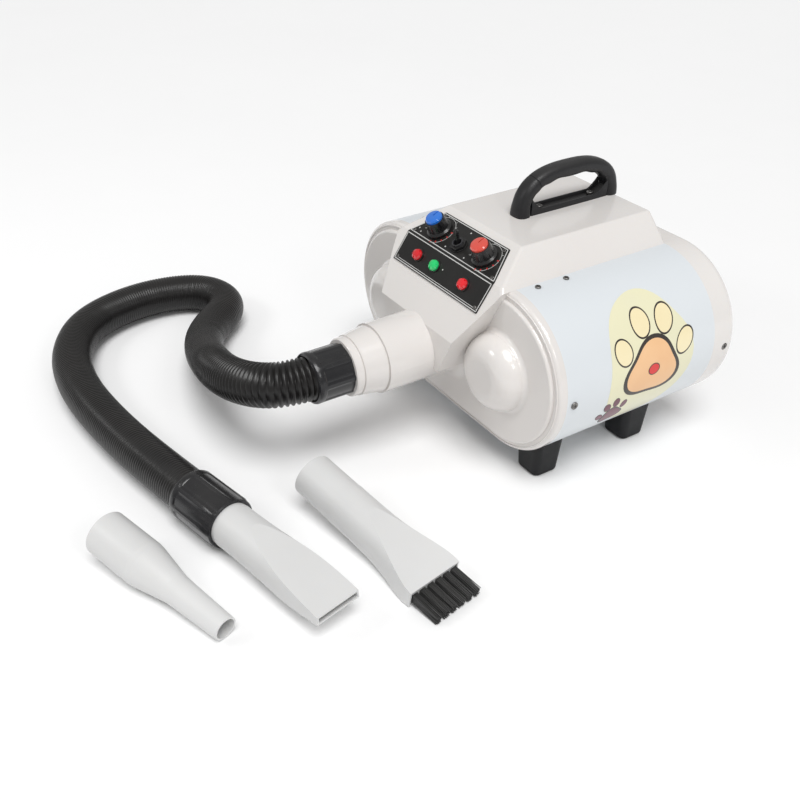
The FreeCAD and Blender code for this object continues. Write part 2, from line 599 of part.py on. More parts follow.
bezels = []
lenses = []
for name, x in (("left_red", -41.0), ("green", -10.0), ("right_red", 41.0)):
    spot = facet_place(x, -17.0, LOW_TURN)
    lenses.append(turned(f"{name}_lens", [
        ("0", "-9"), ("3.6", "-9"), ("3.6", "2.4"), ("6.2", "2.6"), ("6.2", "4.4"),
        ("5.2", "6.6"), ("3", "7.9"), ("0", "8.3")], tuple(spot.Base), "Z", LOW_TURN))
    ring = Part.makeCylinder(7.4, 1.1, Vector(0, 0, SKIN)).cut(
        Part.makeCylinder(3.65, 6, Vector(0, 0, -2)))
    ring = ring.fuse(Part.makeCylinder(5.1, SKIN + 7).cut(
        Part.makeCylinder(3.65, SKIN + 9, Vector(0, 0, -1))).translated(Vector(0, 0, -6.9)))
    ring.Placement = spot
    bezels.append(ring.removeSplitter())
keep(group("bezel_group", bezels), "lamp_bezels")
keep(lenses[1], "green_lamp")
red_pair = doc.addObject("Part::Compound", "red_pair")
red_pair.Links = [lenses[0], lenses[2]]
keep(red_pair, "red_lamps")


def screw(head, shank, length, spot, dome=0.9):
    """Pan-head screw with a cross slot; Z runs out of the head."""
    body = Part.makeCylinder(shank, length, Vector(0, 0, -length))
    cap = Part.makeCylinder(head, dome * 2)
    cap = cap.makeFillet(dome, [e for e in cap.Edges if e.BoundBox.ZMin > dome])
    slot = Part.makeBox(head * 1.2, head * 0.26, dome, Vector(-head * 0.6, -head * 0.13, dome * 1.1))
    cross = slot.fuse(slot.copy().rotated(Vector(0, 0, 0), Z, 90))
    made = body.fuse(cap).cut(cross)
    made.Placement = spot
    return made


keep(group("panel_screw_group", [screw(2.2, 1.0, 5, facet_place(x, up, turn, SKIN), 0.5)
                                 for x, up, turn in PANEL_SCREWS]), "panel_screws")

# ---------------------------------------------------------------- handle
HY, SPAN, RISE, THICK = D["handle_y"], D["handle_span"], D["handle_rise"], D["grip_thick"]


def ring_wire(width, height, power, spot):
    """Closed superellipse of the given width and height, set at a placement."""
    points = []
    for i in range(24):
        a = 2 * math.pi * i / 24
        c, n = math.cos(a), math.sin(a)
        x = math.copysign(abs(c) ** (2 / power), c) * width / 2
        y = math.copysign(abs(n) ** (2 / power), n) * height / 2
        points.append(spot.multVec(Vector(x, y, 0)))
    curve = Part.BSplineCurve()
    curve.interpolate(points, PeriodicFlag=True)
    return Part.Wire([curve.toShape()])


def handle_arch():
    """Arch of the handle: two short legs joined by a flattened curve."""
    knots = []
    leg_foot = TOP + 3.0
    for i in range(17):
        a = math.pi * i / 16
        c, n = math.cos(a), math.sin(a)
        y = HY - math.copysign(abs(c) ** 0.75, c) * SPAN / 2
        z = leg_foot + abs(n) ** 0.80 * (RISE - 3.0)
        knots.append(Vector(0, y, z))
    spine = Part.BSplineCurve()
    spine.interpolate(knots)
    path = Part.Wire([spine.toShape()])
    start = spine.tangent(spine.FirstParameter)[0]
    first = Placement(knots[0], Rotation(Z, start))
    pipe = Part.BRepOffsetAPI.MakePipeShell(path)
    pipe.setFrenetMode(False)
    pipe.setBiNormalMode(X)
    pipe.add(ring_wire(THICK + 4, THICK, 2.6, first))
    pipe.build()
    pipe.makeSolid()
    return pipe.shape()


arch = handle_arch()
top_plane = Part.makeBox(60, SPAN + 60, 20, Vector(-30, HY - SPAN / 2 - 30, TOP - 20))
tray_blank = Part.makeBox(18.5, SPAN - 10, 9.0, Vector(-9.25, HY - SPAN / 2 + 5, TOP))
tray_blank = tray_blank.makeFillet(4.0, [e for e in tray_blank.Edges
                                         if e.BoundBox.ZMin > TOP + 8 and e.BoundBox.YLength > 50])
tray_scoop = Part.makeBox(12.0, SPAN - 44, 6.0, Vector(-6.0, HY - SPAN / 2 + 22, TOP + 4.5))
handle_grip = arch.cut(top_plane)
tray = tray_blank.cut(tray_scoop).cut(handle_grip)
for y in HANDLE_SCREW_YS:
    tray = tray.cut(Part.makeCylinder(2.1, 20, Vector(0, y, TOP - 5)))
keep(computed("handle_arch_solid", handle_grip), "handle_grip")
keep(computed("handle_tray_solid", tray), "handle_base")
keep(group("handle_screw_group", [
    screw(4.0, 2.0, 12, Placement(Vector(0, y, TOP + 4.5), Rotation()))
    for y in HANDLE_SCREW_YS]), "handle_screws")

# ---------------------------------------------------------------- feet and casing screws
foot_parts = []
foot_screws = []
casing_solid = Part.makeCylinder(D["end_radius"], 300, Vector(D["end_offset"], -150, MID_Z), Y)
casing_solid = casing_solid.fuse(
    Part.makeBox(D["end_offset"], 300, 2 * D["end_radius"],
                 Vector(0, -150, D["foot_height"])))
for row, sy in (("front", -1), ("rear", 1)):
    for side, sx in SIDES:
        half = D["foot_side"] / 2
        lower = Part.makePolygon([Vector(a * half, b * half, 0) for a, b in
                                  ((-1, -1), (1, -1), (1, 1), (-1, 1), (-1, -1))])
        upper = Part.makePolygon([Vector(a * (half + 3), b * (half + 3), 50) for a, b in
                                  ((-1, -1), (1, -1), (1, 1), (-1, 1), (-1, -1))])
        foot = Part.makeLoft([lower, upper], True)
        foot = foot.makeFillet(8.0, [e for e in foot.Edges if e.BoundBox.ZLength > 20])
        foot = foot.makeFillet(4.0, [e for e in foot.Edges if e.BoundBox.ZMax < 0.01])
        foot = foot.cut(Part.makeCylinder(6.0, 12, Vector(0, 0, -1)))
        foot = foot.cut(Part.makeCylinder(2.2, 60, Vector(0, 0, 0)))
        foot = foot.translated(Vector(D["foot_x"], sy * D["foot_y"], 0)).cut(casing_solid)
        if sx < 0:
            foot = foot.mirror(Vector(0, 0, 0), X)
        keep(computed(f"{row}_{side}_foot_solid", foot), f"{row}_{side}_foot")
        hole_spot = Vector(sx * D["foot_x"], sy * D["foot_y"], 11)
        foot_screws.append(screw(5.0, 2.1, 27, Placement(hole_spot, Rotation(X, 180))))
keep(group("foot_screw_group", foot_screws), "foot_screws")

case_screws = []
for side, s in SIDES:
    side_turn = Rotation(Y, 90 * s)
    case_screws.append(screw(4.0, 1.9, 4.4, Placement(
        Vector(s * edge_x, FRONT_SCREW_Y, MID_Z), side_turn)))
    for y in TOP_SCREW_YS:
        case_screws.append(screw(3.2, 1.55, 4.4, Placement(
            Vector(s * TOP_SCREW_X, y, top_screw_z), Rotation(Y, s * math.degrees(top_tilt)))))
    case_screws.append(screw(3.8, 1.9, 10, Placement(
        Vector(s * (edge_x - 1.6), CAP_SCREW_Y, MID_Z), side_turn)))
keep(group("case_screw_group", case_screws), "case_screws")

# ---------------------------------------------------------------- motors
bulkhead = slot_block("bulkhead_plate", "sizes.end_radius - sizes.sleeve_wall - 3", -44, -41)
bulkhead_holes = [rod(f"{side}_motor_hole", "sizes.motor_radius + 0.4", 10,
                      (f"{s} * sizes.end_offset", -47, MID), TURN_TO_PLUS_Y) for side, s in SIDES]
stud_holes = []
for side, s in SIDES:
    for i in range(3):
        a = math.radians(90 + 120 * i)
        stud_holes.append(rod(f"{side}_stud_hole_{i}", 2.1, 10,
                              (s * D["end_offset"] + 66 * math.cos(a), -47,
                               MID_Z + 66 * math.sin(a)), TURN_TO_PLUS_Y))
keep(cut("bulkhead_cut", bulkhead, bulkhead_holes + stud_holes), "motor_bulkhead")



def pair_of(label, build):
    """One node with a like piece for each motor, as separate solids."""
    both = doc.addObject("Part::Compound", label + "_pair")
    both.Links = [build(f"{side}_{label}", (f"{s} * sizes.end_offset", 0, MID))
                  for side, s in SIDES]
    return keep(both, label)


def motor_clamp(name, centre):
    """Ring behind the fan housing with three studs to the bulkhead."""
    ring = turned(name + "_ring", [
        ("44", "6"), ("70", "6"), ("70", "8.5"), ("44", "8.5")], centre, "Y")
    studs = []
    for i in range(3):
        a = math.radians(90 + 120 * i)
        studs.append(rod(f"{name}_stud_{i}", 2, 66,
                         (number(centre[0]) + 66 * math.cos(a), -52,
                          MID_Z + 66 * math.sin(a)), TURN_TO_PLUS_Y))
    return fuse(name, [ring] + studs)


pair_of("motor_cans", lambda name, centre: turned(name, [
    ("9.2", "-112"), ("20", "-112"), ("sizes.motor_radius", "-104"),
    ("sizes.motor_radius", "-37"), ("sizes.motor_radius - 1.4", "-37"),
    ("sizes.motor_radius - 1.4", "-103"), ("19.6", "-110.4"), ("12", "-110.4"),
    ("12", "-104"), ("9.2", "-104")], centre, "Y"))
pair_of("motor_fields", lambda name, centre: turned(name, [
    ("23.5", "-92"), ("sizes.motor_radius - 1.6", "-92"),
    ("sizes.motor_radius - 1.6", "-58"), ("23.5", "-58")], centre, "Y"))
pair_of("motor_gaskets", lambda name, centre: turned(name, [
    ("sizes.motor_radius + 1", "-41"), ("sizes.fan_radius", "-41"),
    ("sizes.fan_radius", "-37"), ("sizes.motor_radius + 1", "-37")], centre, "Y"))
pair_of("fan_housings", lambda name, centre: turned(name, [
    ("12", "-37"), ("sizes.fan_radius", "-37"), ("sizes.fan_radius", "6"), ("20", "6"),
    ("20", "4.6"), ("sizes.fan_radius - 1.4", "4.6"), ("sizes.fan_radius - 1.4", "-30"),
    ("9.2", "-30"), ("9.2", "-36"), ("12", "-36")], centre, "Y"))
pair_of("motor_clamps", motor_clamp)

bearings = []
holders = []
for side, s in SIDES:
    centre = (f"{s} * sizes.end_offset", 0, MID)
    axis_x = s * D["end_offset"]
    for y0 in (-110.3, -36.9):
        ring = Part.makeCylinder(9.1, 6.0, Vector(axis_x, y0, MID_Z), Y)
        bearings.append(ring.cut(Part.makeCylinder(4.04, 8, Vector(axis_x, y0 - 1, MID_Z), Y)))
    for inner_x in (10.0, -36.0):
        holders.append(Part.makeBox(26.0, 9.0, 9.0,
                                    Vector(axis_x + inner_x, -52.5, MID_Z - 4.5)))
    rotor = turned(f"{side}_rotor_turned", [
        ("0", "-111"), ("sizes.shaft_radius", "-111"), ("sizes.shaft_radius", "-94"),
        ("22.5", "-94"), ("22.5", "-56"), ("sizes.shaft_radius", "-56"),
        ("sizes.shaft_radius", "-54"), ("9.5", "-54"), ("9.5", "-42"),
        ("sizes.shaft_radius", "-42"), ("sizes.shaft_radius", "-26"), ("55", "-26"),
        ("55", "-24.6"), ("9", "-24.6"), ("9", "-9"), ("sizes.shaft_radius", "-9"),
        ("sizes.shaft_radius", "2"), ("0", "2")], centre, "Y")
    shroud = turned(f"{side}_shroud", [
        ("19", "-11"), ("53.5", "-11"), ("53.5", "-9.6"), ("19", "-9.6")], centre, "Y")
    blades = []
    for i in range(9):
        turn = Rotation(Y, 40 * i)
        offset = turn.multVec(Vector(20, -24.7, 0))
        blades.append(block(f"{side}_blade_{i}", (33, 14, 1.2),
                            (axis_x + offset.x, offset.y, MID_Z + offset.z),
                            turn.multiply(Rotation(Y, 24))))
    keep(fuse(f"{side}_rotor_whole", [rotor, shroud] + blades), f"{side}_motor_rotor")
keep(group("bearing_group", bearings), "motor_bearings")
keep(group("holder_group", holders), "brush_holders")

# ---------------------------------------------------------------- heater
HEATER_TURNS = 7
coils = [Part.makeTorus(25.0, 1.1, Vector(0, -132.0 - 6.5 * i, D["spout_z"]), Y)
         for i in range(HEATER_TURNS)]
slots = Part.makeCompound([Part.makeTorus(25.0, 1.35, Vector(0, -132.0 - 6.5 * i, D["spout_z"]), Y)
                           for i in range(HEATER_TURNS)])
mica_a = Part.makeBox(68.0, 50.0, 0.9, Vector(-34.0, -177.0, D["spout_z"] - 0.45))
mica_b = Part.makeBox(0.9, 50.0, 68.0, Vector(-0.45, -177.0, D["spout_z"] - 34.0))
keep(computed("heater_cross", mica_a.fuse(mica_b).cut(slots)), "heater_frame")
keep(group("heater_rings", coils), "heater_element")
keep(computed("cutout_body", Part.makeCylinder(4.0, 10.0, Vector(8.0, -165.0, D["spout_z"] + 5.2), Y)),
     "thermal_cutout")

# ---------------------------------------------------------------- electronics
board = Part.makeBox(96.0, 84.0, 1.6, Vector(-48.0, -30.0, 214.0))
keep(computed("board_blank", board), "circuit_board")
keep(group("spacer_group", [
    Part.makeCylinder(3.0, 6.96, Vector(x, y, 207.02)) for x in (-42, 42) for y in (-24, 48)]),
    "board_spacers")
sink = Part.makeBox(34.0, 26.0, 2.5, Vector(-40.0, -10.0, 215.6))
for i in range(6):
    sink = sink.fuse(Part.makeBox(34.0, 1.4, 12.0, Vector(-40.0, -10.0 + i * 4.92, 215.6)))
keep(computed("sink_body", sink.removeSplitter()), "heatsink")
keep(group("capacitor_group", [
    Part.makeCylinder(7.0, 13.0, Vector(14.0, -12.0, 215.6)),
    Part.makeCylinder(7.0, 13.0, Vector(34.0, -12.0, 215.6)),
    Part.makeBox(28.0, 12.0, 13.0, Vector(6.0, 30.0, 215.6))]), "board_components")

# ---------------------------------------------------------------- hose
# Points of the hose's route, chosen along its run: out of the spout cuff, down to the
# floor, round the tight far bend and back past the front of the casing.
MOUTH_B = Vector(70.0, -403.0, 28.3)
YAW_B = 12.5
AIM_B = Vector(math.cos(math.radians(YAW_B)), math.sin(math.radians(YAW_B)), 0)
HOSE_START = Vector(0, D["collar_end"] + 24 - D["cuff_length"] + D["hose_grip"], D["spout_z"])
HOSE_FINISH = MOUTH_B - AIM_B * (D["cuff_length"] - D["hose_grip"])
ROUTE = [
    HOSE_START,
    Vector(0, -296, 115),
    Vector(-30, -325, 107),
    Vector(-104, -329, 82),
    Vector(-214, -306, 47),
    Vector(-288, -272, 28),
    Vector(-341, -208, 26),
    Vector(-404, -226, 26),
    Vector(-424, -308, 26),
    Vector(-396, -394, 26),
    Vector(-330, -438, 26),
    Vector(-250, -452, 26),
    Vector(-160, -447, 26.5),
    HOSE_FINISH - AIM_B * 100,
    HOSE_FINISH,
]


def rounded_path(points):
    """Straight runs joined by tangent arcs, each as large as its runs allow."""
    edges, here, radii = [], points[0], []
    for before, corner, after in zip(points, points[1:], points[2:]):
        run_in, run_out = corner - before, after - corner
        turn = run_in.getAngle(run_out)
        trim = 0.45 * min(run_in.Length, run_out.Length)
        radius = trim / math.tan(turn / 2)
        radii.append(radius)
        back, ahead = run_in.normalize(), run_out.normalize()
        start, end = corner - back * trim, corner + ahead * trim
        bow = (ahead - back).normalize()
        middle = corner + bow * (radius / math.cos(turn / 2) - radius)
        edges.append(Part.LineSegment(here, start).toShape())
        edges.append(Part.Arc(start, middle, end).toShape())
        here = end
    edges.append(Part.LineSegment(here, points[-1]).toShape())
    return Part.Wire(edges), radii


def swept_tube(path, radius, start, aim):
    """Solid of a round section carried along a path."""
    circle = Part.Wire([Part.Circle(start, aim, radius).toShape()])
    pipe = Part.BRepOffsetAPI.MakePipeShell(path)
    pipe.setFrenetMode(False)
    pipe.add(circle)
    pipe.build()
    pipe.makeSolid()
    return pipe.shape()


path, radii = rounded_path(ROUTE)
print("hose bends, mm:", [round(r) for r in radii], "length", round(path.Length, 1))
hose_skin = swept_tube(path, D["hose_radius"], HOSE_START, Vector(0, -1, 0))
hose_core = swept_tube(path, D["hose_bore"], HOSE_START, Vector(0, -1, 0))
hose_shape = hose_skin.cut(hose_core)
section = math.pi * (D["hose_radius"] ** 2 - D["hose_bore"] ** 2)
print("hose volume over section times length:", round(hose_shape.Volume / section / path.Length, 4))
keep(computed("hose_tube", hose_shape), "air_hose")


def hose_cuff(name, mouth, aim):
    """Cuff: bore for a nozzle tail or the spout at its mouth, the hose at its back."""
    turn = Rotation(Z, aim)
    shell = turned(f"{name}_shell", [
        ("sizes.tool_radius + 0.3", "0"), ("sizes.cuff_radius - 0.6", "0"),
        ("sizes.cuff_radius", "1.5"),
        ("sizes.cuff_radius", "sizes.cuff_length - 9"),
        ("sizes.cuff_radius + 1.3", "sizes.cuff_length - 7.5"),
        ("sizes.cuff_radius + 1.3", "sizes.cuff_length - 1"),
        ("sizes.cuff_radius + 0.6", "sizes.cuff_length"),
        ("sizes.hose_radius", "sizes.cuff_length"),
        ("sizes.hose_radius", "sizes.cuff_length - sizes.hose_grip"),
        ("sizes.tool_radius + 0.3", "sizes.cuff_length - sizes.hose_grip")],
        tuple(mouth), "Z", turn)
    spot = Placement(mouth, turn)
    ribs = []
    for i in range(10):
        around = Rotation(Z, 36 * i)
        corner = spot.multVec(around.multVec(Vector(D["cuff_radius"] - 0.8, -1.1, 27)))
        ribs.append(block(f"{name}_rib_{i}", (1.5, 2.2, 31), tuple(corner), turn.multiply(around)))
    return keep(fuse(f"{name}_whole", [shell] + ribs), name)


hose_cuff("spout_cuff", Vector(0, D["collar_end"] + 24, D["spout_z"]), Vector(0, -1, 0))
hose_cuff("nozzle_cuff", MOUTH_B, AIM_B * -1)


# ---------------------------------------------------------------- nozzles
def lofted(sections):
    """Solid through superellipse sections given as width, height, power, distance."""
    wires = [ring_wire(w, high, power, Placement(Vector(0, 0, along), Rotation()))
             for w, high, power, along in sections]
    return Part.makeLoft(wires, True, False)


BODY = 2 * (D["tool_radius"] + 0.4)


def between_slopes(crease, toe, long, drawn_in=0.0):
    """Block between two planes that come together from a crease towards the mouth.

    Crease and toe are each a distance from the tail and the half height there.
    """
    slope = (toe[1] - crease[1]) / (toe[0] - crease[0])
    step = drawn_in * math.hypot(1.0, slope)
    start, half = crease[0] - 60.0, crease[1] - 60.0 * slope - step
    end_half = toe[1] + (long - toe[0]) * slope - step
    side = Part.makePolygon([Vector(-50, y, z) for y, z in (
        (-half, start), (half, start), (end_half, long), (-end_half, long), (-half, start))])
    return Part.Face(side).extrude(Vector(100, 0, 0))


def wedge_nozzle(sections, crease, toe, wall):
    """Open nozzle: a round tail, then the sections cut by two slopes from the crease on."""
    tail_end = sections[0][3] + 2
    tail = Part.makeCylinder(D["tool_radius"], tail_end)
    outer = lofted(sections).common(between_slopes(crease, toe, toe[0])).fuse(tail)
    inner = [(w - 2 * wall, high - 2 * wall, power, along) for w, high, power, along in sections]
    inner[-1] = inner[-1][:3] + (inner[-1][3] + 1,)
    hollow = lofted(inner).common(between_slopes(crease, toe, toe[0] + 1, wall))
    bore = Part.makeCylinder(D["tool_radius"] - wall, tail_end + 1, Vector(0, 0, -1))
    return outer.cut(hollow).cut(bore)


def lay_down(start, yaw, dip):
    """Placement of a piece whose length is its Z, lying with its Y side up."""
    level = Rotation(Z, yaw).multiply(Rotation(Y, 90 + dip))
    return Placement(start, level.multiply(Rotation(Z, 90)))


def resting(x, y, heel, toe, clear=0.4):
    """Tail place and dip of a nozzle that rests on two of its sections.

    Heel and toe are each a distance from the tail and the half height there.
    """
    dip = math.asin((heel[1] - toe[1]) / (toe[0] - heel[0]))
    height = heel[1] * math.cos(dip) + heel[0] * math.sin(dip) + clear
    return Vector(x, y, height), math.degrees(dip)


flat_sections = [(BODY, BODY, 2.0, 42), (BODY, BODY, 2.0, 76), (BODY + 0.6, BODY, 2.3, 110),
                 (BODY + 1.4, BODY, 3.2, 152), (BODY + 2.2, BODY, 5.0, 192)]
flat_shell = wedge_nozzle(flat_sections, (76.0, BODY / 2), (192.0, 4.75), 1.8)
flat_tail = MOUTH_B - AIM_B * D["tool_grip"]
keep(computed("flat_nozzle_shell", flat_shell, lay_down(flat_tail, YAW_B, 0.0)), "flat_nozzle")

CONE_LENGTH = 167.0
cone_outline = [(23.3, 0), (23.3, 56), (22.6, 62), (15.2, 100), (14.6, 106), (12.0, 167)]
cone_points = [Vector(r, 0, a) for r, a in cone_outline]
cone_points += [Vector(r - 1.8, 0, a) for r, a in reversed(cone_outline)]
cone_face = Part.Face(Part.makePolygon(cone_points + cone_points[:1]))
cone = cone_face.revolve(Vector(0, 0, 0), Z, 360)
cone_start, cone_dip = resting(18.5, -511.0, (56.0, D["tool_radius"]), (CONE_LENGTH, 12.0))
keep(computed("cone_shell", cone, lay_down(cone_start, 18.0, cone_dip)), "cone_nozzle")

BRUSH_LENGTH = 178.0
brush_sections = [(BODY, BODY, 2.0, 52), (BODY, BODY, 2.0, 86), (BODY + 0.6, BODY, 2.2, 112),
                  (BODY + 4.5, BODY, 2.6, 134), (BODY + 13, BODY, 3.4, 158),
                  (BODY + 16.2, BODY, 5.0, BRUSH_LENGTH)]
brush_heel, brush_toe = (86.0, BODY / 2), (BRUSH_LENGTH, 9.5)
brush_start, brush_dip = resting(53.5, -302.5, brush_heel, (BRUSH_LENGTH + 33, 5.2))
brush_place = lay_down(brush_start, 10.5, brush_dip)
brush_shell = wedge_nozzle(brush_sections, brush_heel, brush_toe, 1.8)
keep(computed("brush_shell", brush_shell, brush_place), "brush_nozzle")
# The brush is one moulding: six combs on a bar that has gaps for the air between them.
COMB_PITCH = 10.2
brush = Part.makeBox(54.0, 2.0, 5.0, Vector(-27.0, -1.0, BRUSH_LENGTH - 6.0))
for i in range(6):
    x = COMB_PITCH * (i - 2.5)
    comb = Part.makeBox(3.6, 10.4, 39.0, Vector(x - 1.8, -5.2, BRUSH_LENGTH - 6.0))
    for tooth in range(4):
        gap = Part.makeBox(4.0, 0.8, 27.0, Vector(x - 2.0, -3.7 + 2.2 * tooth,
                                                  BRUSH_LENGTH + 7.0))
        comb = comb.cut(gap)
    brush = brush.fuse(comb)
keep(computed("brush_solid", brush.removeSplitter(), brush_place), "brush_bristles")

# ---------------------------------------------------------------- check and write
doc.recompute()
for thing in doc.Objects:
    bad = [s for s in thing.State if s in ("Invalid", "Error")]
    if bad:
        raise ValueError(f"{thing.Name} failed: {bad}")
os.makedirs("parts", exist_ok=True)
for thing in kept:
    shape = thing.Shape
    if shape.isNull() or not shape.isValid():
        raise ValueError(thing.Label + " is null or not valid")
    shape.exportStep(f"parts/{thing.Label}.step")
print(len(kept), "sub-parts written")
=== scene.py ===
"""Looks of a two-motor pet dryer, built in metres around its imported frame.

+Z is up, the air spout points to -Y and the printed side of the casing is at +X.
"""

import logging
import math
from dataclasses import dataclass
from enum import Enum
from random import Random
from typing import Callable, Iterable, Sequence

import bmesh
import bpy
from mathutils import Matrix, Vector


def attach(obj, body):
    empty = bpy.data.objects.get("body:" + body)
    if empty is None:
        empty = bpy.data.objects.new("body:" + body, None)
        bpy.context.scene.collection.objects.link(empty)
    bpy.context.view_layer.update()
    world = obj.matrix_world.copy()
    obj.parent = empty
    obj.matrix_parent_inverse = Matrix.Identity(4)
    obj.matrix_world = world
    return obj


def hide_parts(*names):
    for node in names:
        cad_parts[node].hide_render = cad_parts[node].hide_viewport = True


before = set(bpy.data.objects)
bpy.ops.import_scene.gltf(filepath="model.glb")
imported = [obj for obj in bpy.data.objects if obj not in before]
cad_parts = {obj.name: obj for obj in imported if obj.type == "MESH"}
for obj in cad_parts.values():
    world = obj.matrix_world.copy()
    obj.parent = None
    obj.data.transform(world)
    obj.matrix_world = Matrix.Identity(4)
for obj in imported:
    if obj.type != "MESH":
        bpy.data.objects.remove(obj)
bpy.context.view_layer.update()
LOG = logging.getLogger("pet_dryer")
MM = 0.001
CUFF_LENGTH = 66.0 * MM
HOSE_GRIP = 25.0 * MM
Colour = tuple[float, float, float]


# ------------------------------------------------------------------ bench: mesh work by operators
def deselect_all() -> None:
    """Leave nothing selected."""
    bpy.ops.object.select_all(action="DESELECT")


def take(piece: bpy.types.Object) -> None:
    """Make one object the only selected and active one.

    Args:
        piece: The object to work on.
    """
    deselect_all()
    piece.select_set(True)
    bpy.context.view_layer.objects.active = piece


def edit(piece: bpy.types.Object) -> None:
    """Open an object in edit mode, by vertices, with nothing selected."""
    take(piece)
    bpy.ops.object.mode_set(mode="EDIT")
    bpy.ops.mesh.select_mode(type="VERT")
    bpy.ops.mesh.select_all(action="DESELECT")


def close_edit() -> None:
    """Leave edit mode."""
    bpy.ops.object.mode_set(mode="OBJECT")


def pick_vertices(piece: bpy.types.Object, test: Callable[[Vector], bool]) -> None:
    """Select the vertices whose place passes a test, and nothing else.

    Args:
        piece: Object that is open in edit mode.
        test: Says whether a place is wanted.
    """
    bpy.ops.mesh.select_all(action="DESELECT")
    close_edit()
    for vertex in piece.data.vertices:
        vertex.select = test(vertex.co)
    bpy.ops.object.mode_set(mode="EDIT")


def settle(piece: bpy.types.Object, place: Matrix) -> None:
    """Put a finished mesh at its place, its object left at the origin.

    Args:
        piece: Object made about the origin.
        place: Where it goes in the row frame.
    """
    take(piece)
    piece.matrix_world = place
    bpy.ops.object.transform_apply(location=True, rotation=True, scale=True)


def smooth(piece: bpy.types.Object, angle: float = 35.0) -> None:
    """Shade smooth where neighbouring faces turn by less than an angle in degrees."""
    take(piece)
    bpy.ops.object.shade_smooth_by_angle(angle=math.radians(angle))


def add_modifier(piece: bpy.types.Object, kind: str, **settings: object) -> None:
    """Add a modifier and apply it.

    Args:
        piece: Object to change.
        kind: Type of the modifier.
        settings: Its properties.
    """
    take(piece)
    modifier = piece.modifiers.new(kind.lower(), kind)
    for name, value in settings.items():
        setattr(modifier, name, value)
    bpy.ops.object.modifier_apply(modifier=modifier.name)


def open_ring(name: str, corners: int, radius: float) -> bpy.types.Object:
    """Start a piece as an open ring about the origin, all selected in edit mode.

    Args:
        name: Name of the new piece.
        corners: Corners round the ring.
        radius: Radius of the ring.

    Returns:
        The piece, left open in edit mode.
    """
    deselect_all()
    bpy.ops.mesh.primitive_circle_add(vertices=corners, radius=radius, fill_type="NOTHING")
    piece = bpy.context.object
    piece.name = piece.data.name = name
    bpy.ops.object.mode_set(mode="EDIT")
    bpy.ops.mesh.select_mode(type="VERT")
    bpy.ops.mesh.select_all(action="SELECT")
    return piece


def close_shell() -> None:
    """Merge doubles, fill open ends, turn the faces outwards and leave edit mode."""
    bpy.ops.mesh.select_all(action="SELECT")
    bpy.ops.mesh.remove_doubles(threshold=1e-6)
    bpy.ops.mesh.select_all(action="SELECT")
    bpy.ops.mesh.fill_holes(sides=0)
    bpy.ops.mesh.select_all(action="SELECT")
    bpy.ops.mesh.normals_make_consistent(inside=False)
    close_edit()


def lathe(name: str, profile: Sequence[tuple[float, float]], steps: int = 48) -> bpy.types.Object:
    """Turn a profile about Z by extruding a ring from point to point.

    Args:
        name: Name of the new piece.
        profile: Pairs of radius and height. Where the last one repeats the first it makes
            a tube, and otherwise a bar with filled ends.
        steps: Corners round the ring.

    Returns:
        The turned piece, about the origin.
    """
    radius, height = profile[0]
    piece = open_ring(name, steps, radius)
    bpy.ops.transform.translate(value=(0, 0, height))
    for (old_radius, old_height), (radius, height) in zip(profile, profile[1:]):
        bpy.ops.mesh.extrude_region_move(
            TRANSFORM_OT_translate={"value": (0, 0, height - old_height)})
        ratio = radius / old_radius
        bpy.ops.transform.resize(value=(ratio, ratio, 1), center_override=(0, 0, height))
    close_shell()
    return piece


def loft(name: str, rings: Sequence[Sequence[Vector]]) -> bpy.types.Object:
    """Extrude a ring of corners from one section to the next and close both ends.

    Args:
        name: Name of the new piece.
        rings: Sections, each with the same number of corners in the same order.

    Returns:
        The closed piece. Where the last section repeats the first, it is a closed loop.
    """
    count = len(rings[0])
    piece = open_ring(name, count, 1.0)
    corner_of = {index: index for index in range(count)}
    for number, ring in enumerate(rings):
        if number:
            bpy.ops.mesh.extrude_region_move()
        shape = bmesh.from_edit_mesh(piece.data)
        shape.verts.index_update()
        fresh = {}
        for vertex in (v for v in shape.verts if v.select):
            old = next((e.other_vert(vertex) for e in vertex.link_edges
                        if not e.other_vert(vertex).select), vertex)
            fresh[vertex.index] = corner_of[old.index]
            vertex.co = ring[fresh[vertex.index]]
        corner_of = fresh
        bmesh.update_edit_mesh(piece.data)
    close_shell()
    return piece


def oval(half_width: float, half_height: float, power: float = 2.0,
         corners: int = 24) -> list[tuple[float, float]]:
    """Corners of a superellipse, from +X towards +Y.

    Args:
        half_width: Reach along the first axis.
        half_height: Reach along the second axis.
        power: 2 for an ellipse, more for a squarer shape.
        corners: How many.

    Returns:
        The corners as pairs.
    """
    made = []
    for step in range(corners):
        angle = 2 * math.pi * step / corners
        c, n = math.cos(angle), math.sin(angle)
        made.append((math.copysign(abs(c) ** (2 / power), c) * half_width,
                     math.copysign(abs(n) ** (2 / power), n) * half_height))
    return made


def join(name: str, pieces: Sequence[bpy.types.Object]) -> bpy.types.Object:
    """Join several meshes in one object.

    Args:
        name: Name of the whole.
        pieces: Objects to join; the first one stays.

    Returns:
        The joined object.
    """
    take(pieces[0])
    for piece in pieces:
        piece.select_set(True)
    bpy.ops.object.join()
    whole = bpy.context.object
    whole.name = whole.data.name = name
    return whole


# ------------------------------------------------------------------ shader groups
class Group(Enum):
    """Names of the shared surface effects."""

    TONE = "tone_drift"
    GRAIN = "moulding_grain"
    DUST = "settled_dust"
    RUB = "rubbed_edges"


